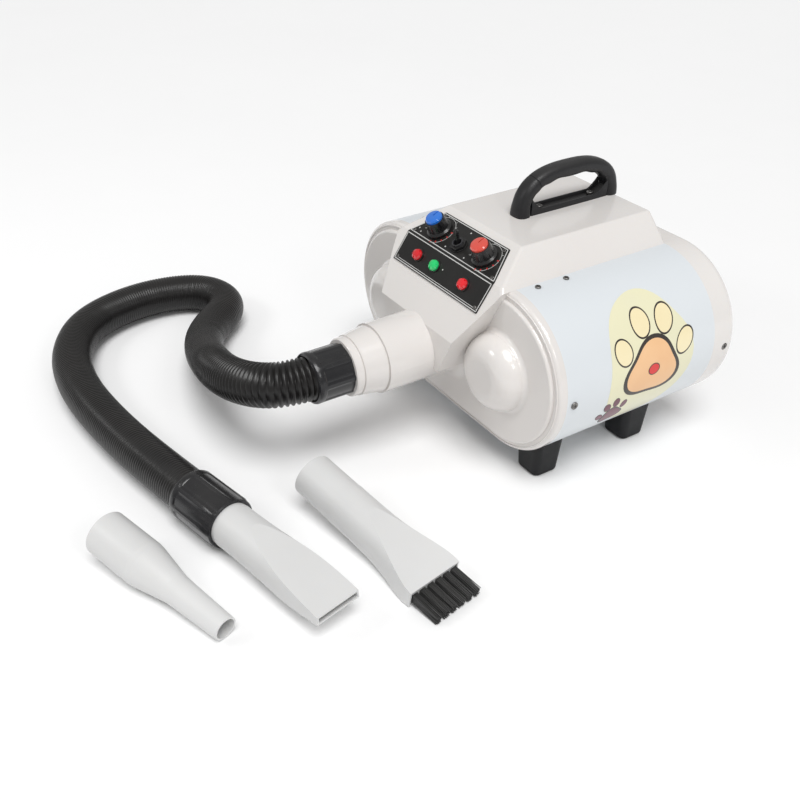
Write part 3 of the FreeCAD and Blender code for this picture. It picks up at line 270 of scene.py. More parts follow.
class SurfaceGroups:
    """Builds each shared effect once, as a shader node group."""

    def __init__(self) -> None:
        """Build all the groups."""
        self.groups = {
            Group.TONE: self._tone(),
            Group.GRAIN: self._grain(),
            Group.DUST: self._dust(),
            Group.RUB: self._rub(),
        }

    @staticmethod
    def _start(kind: Group, inputs: Iterable[tuple[str, str, object]],
               outputs: Iterable[tuple[str, str]]) -> tuple:
        """Open a group with its sockets.

        Args:
            kind: Which effect it is.
            inputs: Name, socket type and default of each input.
            outputs: Name and socket type of each output.

        Returns:
            The tree, its input node and its output node.
        """
        tree = bpy.data.node_groups.new(kind.value, "ShaderNodeTree")
        for name, socket, default in inputs:
            made = tree.interface.new_socket(name=name, in_out="INPUT", socket_type=socket)
            made.default_value = default
        for name, socket in outputs:
            tree.interface.new_socket(name=name, in_out="OUTPUT", socket_type=socket)
        return tree, tree.nodes.new("NodeGroupInput"), tree.nodes.new("NodeGroupOutput")

    @staticmethod
    def _noise(tree: bpy.types.NodeTree, scale: object, detail: float) -> bpy.types.NodeSocket:
        """Add noise on Object coordinates.

        Args:
            tree: Tree to build in.
            scale: Waves per metre, as a number or a socket.
            detail: Octaves of the noise.

        Returns:
            The socket with the noise from 0 to 1.
        """
        where = tree.nodes.new("ShaderNodeTexCoord").outputs["Object"]
        noise = tree.nodes.new("ShaderNodeTexNoise")
        noise.inputs["Detail"].default_value = detail
        tree.links.new(where, noise.inputs["Vector"])
        if isinstance(scale, (int, float)):
            noise.inputs["Scale"].default_value = scale
        else:
            tree.links.new(scale, noise.inputs["Scale"])
        return noise.outputs["Fac"]

    @staticmethod
    def _math(tree: bpy.types.NodeTree, operation: str, first: object,
              second: object = 0.0, clamp: bool = False) -> bpy.types.NodeSocket:
        """Add a math node on sockets or numbers and return its output."""
        node = tree.nodes.new("ShaderNodeMath")
        node.operation, node.use_clamp = operation, clamp
        for socket, value in zip(node.inputs, (first, second)):
            if isinstance(value, (int, float)):
                socket.default_value = value
            else:
                tree.links.new(value, socket)
        return node.outputs[0]

    @staticmethod
    def _mix(tree: bpy.types.NodeTree, factor: object, first: object,
             second: object) -> bpy.types.NodeSocket:
        """Add a colour mix of two sockets and return its output."""
        node = tree.nodes.new("ShaderNodeMix")
        node.data_type = "RGBA"
        for index, value in ((0, factor), (6, first), (7, second)):
            tree.links.new(value, node.inputs[index])
        return node.outputs[2]

    def _tone(self) -> bpy.types.NodeTree:
        """Slow drift between two tones of a finish."""
        tree, given, out = self._start(
            Group.TONE,
            [("Light", "NodeSocketColor", (1, 1, 1, 1)),
             ("Dark", "NodeSocketColor", (0, 0, 0, 1)),
             ("Scale", "NodeSocketFloat", 9.0)],
            [("Colour", "NodeSocketColor")])
        noise = self._noise(tree, given.outputs["Scale"], 3.0)
        sharper = self._math(tree, "MULTIPLY_ADD", noise, 2.4, clamp=True)
        sharper.node.inputs[2].default_value = -0.7
        mixed = self._mix(tree, sharper, given.outputs["Light"], given.outputs["Dark"])
        tree.links.new(mixed, out.inputs["Colour"])
        return tree

    def _grain(self) -> bpy.types.NodeTree:
        """Fine grain: a height for bump and a roughness that wanders with it."""
        tree, given, out = self._start(
            Group.GRAIN,
            [("Scale", "NodeSocketFloat", 900.0), ("Smooth", "NodeSocketFloat", 0.3),
             ("Rough", "NodeSocketFloat", 0.5)],
            [("Height", "NodeSocketFloat"), ("Roughness", "NodeSocketFloat")])
        fine = self._noise(tree, given.outputs["Scale"], 2.0)
        tree.links.new(fine, out.inputs["Height"])
        slow_scale = self._math(tree, "MULTIPLY", given.outputs["Scale"], 0.045)
        slow = self._noise(tree, slow_scale, 4.0)
        span = self._math(tree, "SUBTRACT", given.outputs["Rough"], given.outputs["Smooth"])
        part = self._math(tree, "MULTIPLY", span, slow)
        total = self._math(tree, "ADD", given.outputs["Smooth"], part)
        tree.links.new(total, out.inputs["Roughness"])
        return tree

    def _dust(self) -> bpy.types.NodeTree:
        """Thin dust on what faces up."""
        tree, given, out = self._start(
            Group.DUST,
            [("Colour", "NodeSocketColor", (1, 1, 1, 1)), ("Amount", "NodeSocketFloat", 0.1)],
            [("Colour", "NodeSocketColor")])
        geometry = tree.nodes.new("ShaderNodeNewGeometry")
        split = tree.nodes.new("ShaderNodeSeparateXYZ")
        tree.links.new(geometry.outputs["Normal"], split.inputs[0])
        up = self._math(tree, "MULTIPLY", split.outputs["Z"], 1.0, clamp=True)
        noise = self._noise(tree, 34.0, 6.0)
        speck = self._math(tree, "MULTIPLY", up, noise)
        amount = self._math(tree, "MULTIPLY", speck, given.outputs["Amount"], clamp=True)
        tint = tree.nodes.new("ShaderNodeRGB")
        tint.outputs[0].default_value = (0.52, 0.49, 0.44, 1)
        mixed = self._mix(tree, amount, given.outputs["Colour"], tint.outputs[0])
        tree.links.new(mixed, out.inputs["Colour"])
        return tree

    def _rub(self) -> bpy.types.NodeTree:
        """Edges rubbed to another tone, found from the bevelled normal."""
        tree, given, out = self._start(
            Group.RUB,
            [("Colour", "NodeSocketColor", (1, 1, 1, 1)),
             ("Rubbed", "NodeSocketColor", (1, 1, 1, 1)),
             ("Amount", "NodeSocketFloat", 0.3)],
            [("Colour", "NodeSocketColor")])
        bevel = tree.nodes.new("ShaderNodeBevel")
        bevel.samples = 4
        bevel.inputs["Radius"].default_value = 0.9 * MM
        geometry = tree.nodes.new("ShaderNodeNewGeometry")
        dot = tree.nodes.new("ShaderNodeVectorMath")
        dot.operation = "DOT_PRODUCT"
        tree.links.new(bevel.outputs[0], dot.inputs[0])
        tree.links.new(geometry.outputs["Normal"], dot.inputs[1])
        gap = self._math(tree, "SUBTRACT", 1.0, dot.outputs["Value"])
        mask = self._math(tree, "MULTIPLY", gap, 9.0, clamp=True)
        noise = self._noise(tree, 120.0, 5.0)
        broken = self._math(tree, "MULTIPLY", mask, noise)
        amount = self._math(tree, "MULTIPLY", broken, given.outputs["Amount"], clamp=True)
        mixed = self._mix(tree, amount, given.outputs["Colour"], given.outputs["Rubbed"])
        tree.links.new(mixed, out.inputs["Colour"])
        return tree

    def place(self, tree: bpy.types.NodeTree, kind: Group,
              values: dict[str, object]) -> bpy.types.Node:
        """Put a group in a material's tree.

        Args:
            tree: The material's node tree.
            kind: Which effect.
            values: Input values or sockets by name.

        Returns:
            The group node.
        """
        node = tree.nodes.new("ShaderNodeGroup")
        node.node_tree = self.groups[kind]
        for name, value in values.items():
            if isinstance(value, bpy.types.NodeSocket):
                tree.links.new(value, node.inputs[name])
            else:
                node.inputs[name].default_value = value
        return node


GROUPS = SurfaceGroups()


# ------------------------------------------------------------------ finishes
@dataclass(frozen=True)
class Finish:
    """One finish of the dryer: two tones, its gloss and its grain.

    Sizes of the grain and of the drift are in waves per metre.
    """

    name: str
    light: Colour
    dark: Colour
    smooth: float = 0.3
    rough: float = 0.45
    metallic: float = 0.0
    coat: float = 0.0
    coat_roughness: float = 0.08
    grain_scale: float = 900.0
    grain_depth: float = 0.05
    drift: float = 9.0
    dust: float = 0.05
    rub: float = 0.0
    rubbed: Colour = (0.4, 0.4, 0.4)
    glow: float = 0.0
    specular: float = 0.5
    subsurface: float = 0.0

    def build(self) -> bpy.types.Material:
        """Make the material.

        Returns:
            The finished material.
        """
        material = bpy.data.materials.new(self.name)
        material.use_nodes = True
        tree = material.node_tree
        shader = tree.nodes["Principled BSDF"]
        tone = GROUPS.place(tree, Group.TONE, {
            "Light": (*self.light, 1), "Dark": (*self.dark, 1), "Scale": self.drift})
        colour = tone.outputs["Colour"]
        if self.rub:
            rub = GROUPS.place(tree, Group.RUB, {
                "Colour": colour, "Rubbed": (*self.rubbed, 1), "Amount": self.rub})
            colour = rub.outputs["Colour"]
        if self.dust:
            dust = GROUPS.place(tree, Group.DUST, {"Colour": colour, "Amount": self.dust})
            colour = dust.outputs["Colour"]
        tree.links.new(colour, shader.inputs["Base Color"])
        grain = GROUPS.place(tree, Group.GRAIN, {
            "Scale": self.grain_scale, "Smooth": self.smooth, "Rough": self.rough})
        tree.links.new(grain.outputs["Roughness"], shader.inputs["Roughness"])
        bump = tree.nodes.new("ShaderNodeBump")
        bump.inputs["Strength"].default_value = 1.0
        bump.inputs["Distance"].default_value = self.grain_depth * MM
        tree.links.new(grain.outputs["Height"], bump.inputs["Height"])
        tree.links.new(bump.outputs["Normal"], shader.inputs["Normal"])
        shader.inputs["Metallic"].default_value = self.metallic
        shader.inputs["Coat Weight"].default_value = self.coat
        shader.inputs["Coat Roughness"].default_value = self.coat_roughness
        shader.inputs["Specular IOR Level"].default_value = self.specular
        if self.glow:
            tree.links.new(colour, shader.inputs["Emission Color"])
            shader.inputs["Emission Strength"].default_value = self.glow
        if self.subsurface:
            shader.inputs["Subsurface Weight"].default_value = self.subsurface
            shader.inputs["Subsurface Radius"].default_value = (0.004, 0.003, 0.002)
        return material


def ink(name: str, light: Colour, dark: Colour, drift: float) -> Finish:
    """Ink of the print on the sleeve, with one gloss for every colour."""
    return Finish(name, light, dark, 0.28, 0.4, coat=0.25, grain_scale=1500, grain_depth=0.01,
                  drift=drift)


FINISHES = (
    Finish("cover_plastic", (0.775, 0.75, 0.725), (0.735, 0.70, 0.675), 0.16, 0.28, coat=0.5,
           coat_roughness=0.06, grain_scale=700, grain_depth=0.02, drift=5, dust=0.03,
           subsurface=0.03),
    Finish("sleeve_paint", (0.715, 0.75, 0.775), (0.68, 0.715, 0.745), 0.30, 0.42, coat=0.25,
           coat_roughness=0.2, grain_scale=1500, grain_depth=0.03, drift=4, dust=0.03),
    Finish("black_plastic", (0.014, 0.014, 0.016), (0.008, 0.008, 0.009), 0.30, 0.48,
           specular=0.38, grain_scale=1900, grain_depth=0.12, rub=0.25, rubbed=(0.10, 0.10, 0.11)),
    Finish("foot_rubber", (0.012, 0.012, 0.014), (0.007, 0.007, 0.008), 0.45, 0.65,
           specular=0.3, grain_scale=1300, grain_depth=0.10, dust=0.12, rub=0.3,
           rubbed=(0.09, 0.09, 0.09)),
    Finish("hose_black", (0.010, 0.009, 0.009), (0.005, 0.005, 0.005), 0.26, 0.38, coat=0.12,
           coat_roughness=0.22, specular=0.32, grain_scale=1100, grain_depth=0.04, drift=14,
           dust=0.03),
    Finish("cuff_black", (0.010, 0.011, 0.013), (0.006, 0.006, 0.008), 0.20, 0.32, coat=0.25,
           coat_roughness=0.2, specular=0.4, grain_scale=1500, grain_depth=0.03, rub=0.2,
           rubbed=(0.12, 0.12, 0.13)),
    Finish("nozzle_white", (0.70, 0.70, 0.695), (0.64, 0.64, 0.635), 0.34, 0.5,
           grain_scale=1200, grain_depth=0.05, drift=8, dust=0.05, subsurface=0.03),
    Finish("bristle_black", (0.045, 0.045, 0.045), (0.020, 0.020, 0.020), 0.35, 0.55,
           grain_scale=900, grain_depth=0.04),
    Finish("panel_black", (0.009, 0.009, 0.009), (0.005, 0.005, 0.005), 0.24, 0.36, coat=0.15,
           coat_roughness=0.12, specular=0.3, grain_scale=1800, grain_depth=0.02),
    Finish("panel_print", (0.66, 0.66, 0.64), (0.56, 0.56, 0.55), 0.3, 0.45,
           grain_scale=2600, grain_depth=0.01, drift=60),
    Finish("panel_print_red", (0.62, 0.03, 0.03), (0.42, 0.02, 0.02), 0.3, 0.45,
           grain_scale=2600, grain_depth=0.01, drift=60),
    Finish("knob_black", (0.011, 0.011, 0.012), (0.006, 0.006, 0.007), 0.18, 0.32, coat=0.2,
           specular=0.4, grain_scale=1600, grain_depth=0.03, rub=0.25, rubbed=(0.12, 0.12, 0.12)),
    Finish("cap_blue", (0.010, 0.20, 0.74), (0.008, 0.13, 0.58), 0.12, 0.22, coat=1.0,
           coat_roughness=0.05, grain_scale=1200, grain_depth=0.01),
    Finish("cap_red", (0.76, 0.085, 0.055), (0.60, 0.05, 0.035), 0.12, 0.22, coat=1.0,
           coat_roughness=0.05, grain_scale=1200, grain_depth=0.01),
    Finish("lamp_red", (0.80, 0.012, 0.020), (0.58, 0.006, 0.012), 0.10, 0.20, coat=1.0,
           coat_roughness=0.03, grain_depth=0.0, glow=0.06, dust=0.0),
    Finish("lamp_green", (0.01, 0.62, 0.17), (0.006, 0.46, 0.11), 0.10, 0.20, coat=1.0,
           coat_roughness=0.03, grain_depth=0.0, glow=0.10, dust=0.0),
    Finish("bezel_black", (0.016, 0.016, 0.016), (0.009, 0.009, 0.009), 0.25, 0.4,
           grain_scale=2200, grain_depth=0.03),
    Finish("screw_steel", (0.30, 0.29, 0.28), (0.17, 0.165, 0.16), 0.28, 0.42, metallic=1.0,
           grain_scale=2600, grain_depth=0.05, drift=160, dust=0.06),
    Finish("motor_steel", (0.50, 0.50, 0.50), (0.40, 0.40, 0.41), 0.28, 0.42, metallic=1.0,
           grain_scale=2000, grain_depth=0.04, drift=30),
    Finish("fan_aluminium", (0.72, 0.72, 0.72), (0.62, 0.62, 0.63), 0.25, 0.40, metallic=1.0,
           grain_scale=2000, grain_depth=0.03, drift=40),
    Finish("field_iron", (0.16, 0.15, 0.15), (0.10, 0.09, 0.09), 0.4, 0.55, metallic=0.9,
           grain_scale=2400, grain_depth=0.06, drift=80),
    Finish("brass", (0.72, 0.50, 0.20), (0.58, 0.38, 0.14), 0.25, 0.4, metallic=1.0,
           grain_scale=2000, grain_depth=0.03),
    Finish("gasket_rubber", (0.03, 0.03, 0.03), (0.018, 0.018, 0.018), 0.6, 0.8,
           grain_scale=900, grain_depth=0.08),
    Finish("board_green", (0.02, 0.17, 0.06), (0.015, 0.12, 0.045), 0.25, 0.38, coat=0.3,
           grain_scale=3000, grain_depth=0.02, drift=120),
    Finish("component_dark", (0.05, 0.05, 0.06), (0.02, 0.02, 0.02), 0.35, 0.5,
           grain_scale=2500, grain_depth=0.04, drift=200),
    Finish("mica", (0.48, 0.38, 0.24), (0.36, 0.27, 0.16), 0.3, 0.5,
           grain_scale=700, grain_depth=0.10, drift=90),
    Finish("heater_wire", (0.42, 0.38, 0.35), (0.26, 0.20, 0.18), 0.3, 0.5, metallic=1.0,
           grain_scale=3000, grain_depth=0.05, drift=150),
    Finish("filter_foam", (0.030, 0.030, 0.032), (0.008, 0.008, 0.009), 0.85, 0.98,
           grain_scale=1100, grain_depth=0.9, drift=900),
    Finish("grille_plastic", (0.020, 0.021, 0.023), (0.012, 0.012, 0.014), 0.34, 0.5,
           grain_scale=1500, grain_depth=0.10, rub=0.25, rubbed=(0.10, 0.10, 0.11)),
    Finish("shaft_steel", (0.62, 0.62, 0.62), (0.50, 0.50, 0.51), 0.18, 0.3, metallic=1.0,
           grain_scale=2400, grain_depth=0.03, drift=60),
    ink("print_cream", (0.90, 0.80, 0.52), (0.86, 0.74, 0.45), 14),
    ink("print_peach", (0.88, 0.56, 0.30), (0.83, 0.48, 0.24), 18),
    ink("print_maroon", (0.16, 0.012, 0.05), (0.11, 0.008, 0.035), 18),
    ink("print_outline", (0.035, 0.025, 0.020), (0.020, 0.015, 0.012), 30),
    ink("print_halo", (0.80, 0.77, 0.52), (0.76, 0.74, 0.55), 10),
    ink("print_red", (0.70, 0.02, 0.02), (0.52, 0.012, 0.012), 30),
    Finish("studio_floor", (0.95, 0.95, 0.95), (0.94, 0.94, 0.94), 0.7, 0.85,
           grain_scale=300, grain_depth=0.0, drift=2, dust=0.0),
)


class Paint:
    """Keeps the materials and puts them on pieces."""

    def __init__(self) -> None:
        """Build every finish once."""
        self.materials = {finish.name: finish.build() for finish in FINISHES}

    def coat(self, piece: bpy.types.Object, *names: str) -> None:
        """Give a piece its finishes, one for each of its material slots in order."""
        piece.data.materials.clear()
        for name in names:
            piece.data.materials.append(self.materials[name])

    def dress_frame(self) -> None:
        """Give each node of the frame the finish of its slot in the record."""
        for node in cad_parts.values():
            slot = node.data.materials[0].name.split(".")[0] if node.data.materials else ""
            if slot not in self.materials:
                raise ValueError(f"no finish for {node.name}, slot {slot!r}")
            for index in range(len(node.data.materials)):
                node.data.materials[index] = self.materials[slot]


# ------------------------------------------------------------------ studio
@dataclass
class Studio:
    """Camera, lights and floor."""

    eye: Vector = Vector((0.7468, -0.6634, 0.6568))
    azimuth: float = 58.1
    elevation: float = 34.5
    lens: float = 43.5
    shift: tuple[float, float] = (0.036, 0.0086)
    near: float = 0.05
    middle: Vector = Vector((0.0, -0.16, 0.08))
    floor_side: float = 30.0
    sky_light: float = 0.40
    sky_seen: float = 0.96
    sun_power: float = 1.95
    sun_spread: float = 32.0
    sun_from: Vector = Vector((0.36, -0.14, 0.92))

    def camera(self) -> None:
        """Make the camera and choose it."""
        turn, lift = math.radians(self.azimuth), math.radians(self.elevation)
        back = Vector((math.sin(turn) * math.cos(lift), -math.cos(turn) * math.cos(lift),
                       math.sin(lift)))
        data = bpy.data.cameras.new("camera")
        data.lens = self.lens
        data.shift_x, data.shift_y = self.shift
        data.clip_start = self.near
        camera = bpy.data.objects.new("camera", data)
        camera.location = self.eye
        camera.rotation_euler = back.to_track_quat("Z", "Y").to_euler()
        bpy.context.scene.collection.objects.link(camera)
        bpy.context.scene.camera = camera

    def lamp(self, name: str, spot: Sequence[float], power: float, size: float) -> None:
        """Add a soft square lamp that faces the dryer.

        Args:
            name: Name of the lamp.
            spot: Where it stands.
            power: Its power in watts.
            size: Side of its square.
        """
        data = bpy.data.lights.new(name, "AREA")
        data.energy, data.size = power, size
        lamp = bpy.data.objects.new(name, data)
        lamp.location = spot
        lamp.rotation_euler = (Vector(spot) - self.middle).to_track_quat("Z", "Y").to_euler()
        bpy.context.scene.collection.objects.link(lamp)

    def floor(self, paint: Paint) -> None:
        """Lay the pale floor."""
        deselect_all()
        bpy.ops.mesh.primitive_plane_add(size=self.floor_side)
        floor = bpy.context.object
        floor.name = "studio_floor"
        paint.coat(floor, "studio_floor")

    def light(self) -> None:
        """Set the pale world, the broad key light and two small lamps for highlights."""
        world = bpy.data.worlds.new("studio_world")
        world.use_nodes = True
        background = world.node_tree.nodes["Background"]
        background.inputs["Color"].default_value = (1.0, 1.0, 1.0, 1)
        strength = world.node_tree.nodes.new("ShaderNodeMapRange")
        strength.inputs["To Min"].default_value = self.sky_light
        strength.inputs["To Max"].default_value = self.sky_seen
        path = world.node_tree.nodes.new("ShaderNodeLightPath")
        world.node_tree.links.new(path.outputs["Is Camera Ray"], strength.inputs["Value"])
        world.node_tree.links.new(strength.outputs["Result"], background.inputs["Strength"])
        bpy.context.scene.world = world
        bpy.context.scene.view_settings.view_transform = "Standard"
        sun = bpy.data.lights.new("key_light", "SUN")
        sun.energy, sun.angle = self.sun_power, math.radians(self.sun_spread)
        key = bpy.data.objects.new("key_light", sun)
        key.rotation_euler = self.sun_from.to_track_quat("Z", "Y").to_euler()
        bpy.context.scene.collection.objects.link(key)
        self.lamp("left_lamp", (-0.45, -1.35, 1.05), 2.6, 0.32)
        self.lamp("right_lamp", (1.45, -0.25, 1.15), 3.0, 0.34)


# ------------------------------------------------------------------ hose
@dataclass
class AirHose:
    """Free hose from the spout's cuff to the flat nozzle's cuff."""

    radius: float = 24.0 * MM
    length: float = 1.110
    open_pitch: float = 5.4 * MM
    open_depth: float = 2.6 * MM
    closed_pitch: float = 3.6 * MM
    closed_depth: float = 0.55 * MM
    open_until: float = 0.150
    closed_from: float = 0.225
    rings_per_rib: int = 6
    sides: int = 36
    mouth: Vector = Vector((70.0, -403.0, 28.3)) * MM
    heading: float = 12.5
    straight: float = 100.0 * MM
    rib_shape: float = 1.6

    def aim(self) -> Vector:
        """Direction in which the nozzle end of the hose points."""
        turn = math.radians(self.heading)
        return Vector((math.cos(turn), math.sin(turn), 0.0))

    def route(self) -> list[Vector]:
        """Points of the hose's route, the same as its solid follows."""
        finish = self.mouth - self.aim() * (CUFF_LENGTH - HOSE_GRIP)
        bends = ((0, -251, 115), (0, -296, 115), (-30, -325, 107), (-104, -329, 82),
                 (-214, -306, 47), (-288, -272, 28), (-341, -208, 26), (-404, -226, 26),
                 (-424, -308, 26), (-396, -394, 26), (-330, -438, 26), (-250, -452, 26),
                 (-160, -447, 26.5))
        return [Vector(p) * MM for p in bends] + [finish - self.aim() * self.straight, finish]

    def line(self) -> list[Vector]:
        """Smooth middle line of the hose, read from one NURBS spline through its route."""
        route = self.route()
        curve = bpy.data.curves.new("hose_route", "CURVE")
        curve.dimensions = "3D"
        spline = curve.splines.new("NURBS")
        spline.points.add(len(route) - 1)
        for point, place in zip(spline.points, route):
            point.co = (*place, 1.0)
        spline.order_u = 3
        spline.use_endpoint_u = True
        spline.resolution_u = 24
        guide = bpy.data.objects.new("hose_route", curve)
        bpy.context.scene.collection.objects.link(guide)
        mesh = bpy.data.meshes.new_from_object(guide)
        places = [v.co.copy() for v in mesh.vertices]
        bpy.data.objects.remove(guide)
        return places

    def _evenly(self, places: Sequence[Vector]) -> tuple[list[Vector], list[float]]:
        """Spread places along the line, closer together where the ribs are finer.

        Args:
            places: Points of the smooth line.

        Returns:
            The new places and the rib phase, in turns, at each of them.
        """
        ends = [0.0]
        for a, b in zip(places, places[1:]):
            ends.append(ends[-1] + (b - a).length)
        spread, phases, run, phase, index = [], [], 0.0, 0.0, 0
        while run < ends[-1]:
            while ends[index + 1] < run:
                index += 1
            part = (run - ends[index]) / (ends[index + 1] - ends[index])
            spread.append(places[index].lerp(places[index + 1], part))
            phases.append(phase)
            run += self.pitch(run) / self.rings_per_rib
            phase += 1.0 / self.rings_per_rib
        spread.append(places[-1])
        phases.append(phase)
        return spread, phases

    def _closing(self, run: float) -> float:
        """How far the ribs have closed up at a run along the hose, from 0 to 1."""
        part = (run - self.open_until) / (self.closed_from - self.open_until)
        part = min(max(part, 0.0), 1.0)
        return part * part * (3 - 2 * part)

    def pitch(self, run: float) -> float:
        """Distance from rib to rib at a run along the hose."""
        return self.open_pitch + (self.closed_pitch - self.open_pitch) * self._closing(run)

    def depth(self, run: float) -> float:
        """Depth of the ribs at a run along the hose."""
        return self.open_depth + (self.closed_depth - self.open_depth) * self._closing(run)

    def build(self, paint: Paint) -> tuple[bpy.types.Object, list[Vector]]:
        """Make the ribbed tube: one thread of rib winds round it from end to end.

        Args:
            paint: The finishes.

        Returns:
            The tube and the line that it follows.
        """
        line = self.line()
        places, phases = self._evenly(line)
        vertices, faces = [], []
        side = Vector((1.0, 0.0, 0.0))
        run = 0.0
        for index, place in enumerate(places):
            ahead = places[min(index + 1, len(places) - 1)] - places[max(index - 1, 0)]
            ahead.normalize()
            side = (side - ahead * side.dot(ahead)).normalized()
            up = ahead.cross(side)
            run += (place - places[index - 1]).length if index else 0.0
            depth = self.depth(run)
            for step in range(self.sides):
                angle = 2 * math.pi * step / self.sides
                wave = 0.5 + 0.5 * math.cos(2 * math.pi * (phases[index] + step / self.sides))
                reach = self.radius - depth * (1.0 - wave) ** self.rib_shape
                vertices.append(place + (side * math.cos(angle) + up * math.sin(angle)) * reach)
        count = self.sides
        for ring in range(len(places) - 1):
            for step in range(count):
                a, b = ring * count + step, ring * count + (step + 1) % count
                faces.append((a, b, b + count, a + count))
        faces.append(tuple(reversed(range(count))))
        last = (len(places) - 1) * count
        faces.append(tuple(range(last, last + count)))
        mesh = bpy.data.meshes.new("hose_tube")
        mesh.from_pydata(vertices, [], faces)
        tube = bpy.data.objects.new("hose_tube", mesh)
        bpy.context.scene.collection.objects.link(tube)
        smooth(tube, 50)
        paint.coat(tube, "hose_black")
        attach(tube, "casing")
        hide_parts("air_hose")
        LOG.info("hose_tube: %d rings", len(places))
        return tube, line


@dataclass
class HoseCuff:
    """Moulded rubber cuff with a few lengthwise ribs, its mouth turned away from the hose."""

    name: str
    node: str
    mouth: Vector
    toward_hose: Vector
    length: float = CUFF_LENGTH
    radius: float = 28.1 * MM
    bore: float = 23.4 * MM
    ribs: int = 8
    rib_height: float = 1.1 * MM
    rib_share: float = 0.16

    def build(self, paint: Paint) -> bpy.types.Object:
        """Make the cuff.

        Args:
            paint: The finishes.

        Returns:
            The finished cuff.
        """
        body = self.radius - self.rib_height
        lip = 3.0 * MM
        profile = [
            (self.bore, 0.6 * MM), (self.bore + 0.6 * MM, 0.0), (body - 0.8 * MM, 0.0),
            (body, 0.9 * MM), (body + 0.05 * MM, 4 * MM), (body + 0.05 * MM, 20 * MM),
            (body, self.length - 12 * MM), (body, self.length - 9 * MM),
            (self.radius - 0.2 * MM, self.length - 7.6 * MM),
            (self.radius, self.length - lip), (self.radius - 0.9 * MM, self.length - 0.9 * MM),
            (self.bore + 1.6 * MM, self.length), (self.bore + 0.8 * MM, self.length - 0.8 * MM),
            (self.bore, self.length - 5 * MM), (self.bore, self.length - 30 * MM),
            (self.bore, 0.6 * MM)]
        cuff = lathe(self.name, profile, steps=96)
        edit(cuff)

        def on_rib(place: Vector) -> bool:
            """True on the outer wall, inside a rib's share of the turn."""
            if math.hypot(place.x, place.y) < body - 0.1 * MM:
                return False
            if not 3 * MM < place.z < self.length - 8.5 * MM:
                return False
            part = (math.atan2(place.y, place.x) / (2 * math.pi) * self.ribs) % 1.0
            return part < self.rib_share + 0.01

        pick_vertices(cuff, on_rib)
        swell = 1 + self.rib_height / body
        bpy.ops.transform.resize(value=(swell, swell, 1), center_override=(0, 0, 0))
        close_edit()
        turn = self.toward_hose.to_track_quat("Z", "Y").to_matrix().to_4x4()
        settle(cuff, Matrix.Translation(self.mouth) @ turn)
        smooth(cuff, 32)
        paint.coat(cuff, "cuff_black")
        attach(cuff, "casing")
        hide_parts(self.node)
        LOG.info("%s", self.name)
        return cuff


def build_hose(paint: Paint) -> None:
    hose = AirHose()
    tube, line = hose.build(paint)
    spout_mouth = Vector((0, -210, 115)) * MM
    spout_cuff = HoseCuff("hose_spout_cuff", "spout_cuff", spout_mouth,
                          Vector((0, -1, 0))).build(paint)
    nozzle_cuff = HoseCuff("hose_nozzle_cuff", "nozzle_cuff", hose.mouth,
                           -hose.aim()).build(paint)


# ------------------------------------------------------------------ control panel print
@dataclass(frozen=True)
class Facet:
    """Flat part of the control panel, which slopes up and back from the bend line."""

    slope: float
    bend: Vector = Vector((0.0, -101.5, 210.5)) * MM
    sheet: float = 1.2 * MM

    def place(self, across: float, up: float, lift: float = 0.0) -> Vector:
        """Point on the sheet, its measures in metres.

        Args:
            across: Distance to the right of the middle.
            up: Distance up the slope from the bend.
            lift: Height off the sheet.

        Returns:
            The point in the row frame.
        """
        tilt = Matrix.Rotation(math.radians(self.slope), 3, "X")
        return self.bend + tilt @ Vector((across, up, self.sheet + lift))


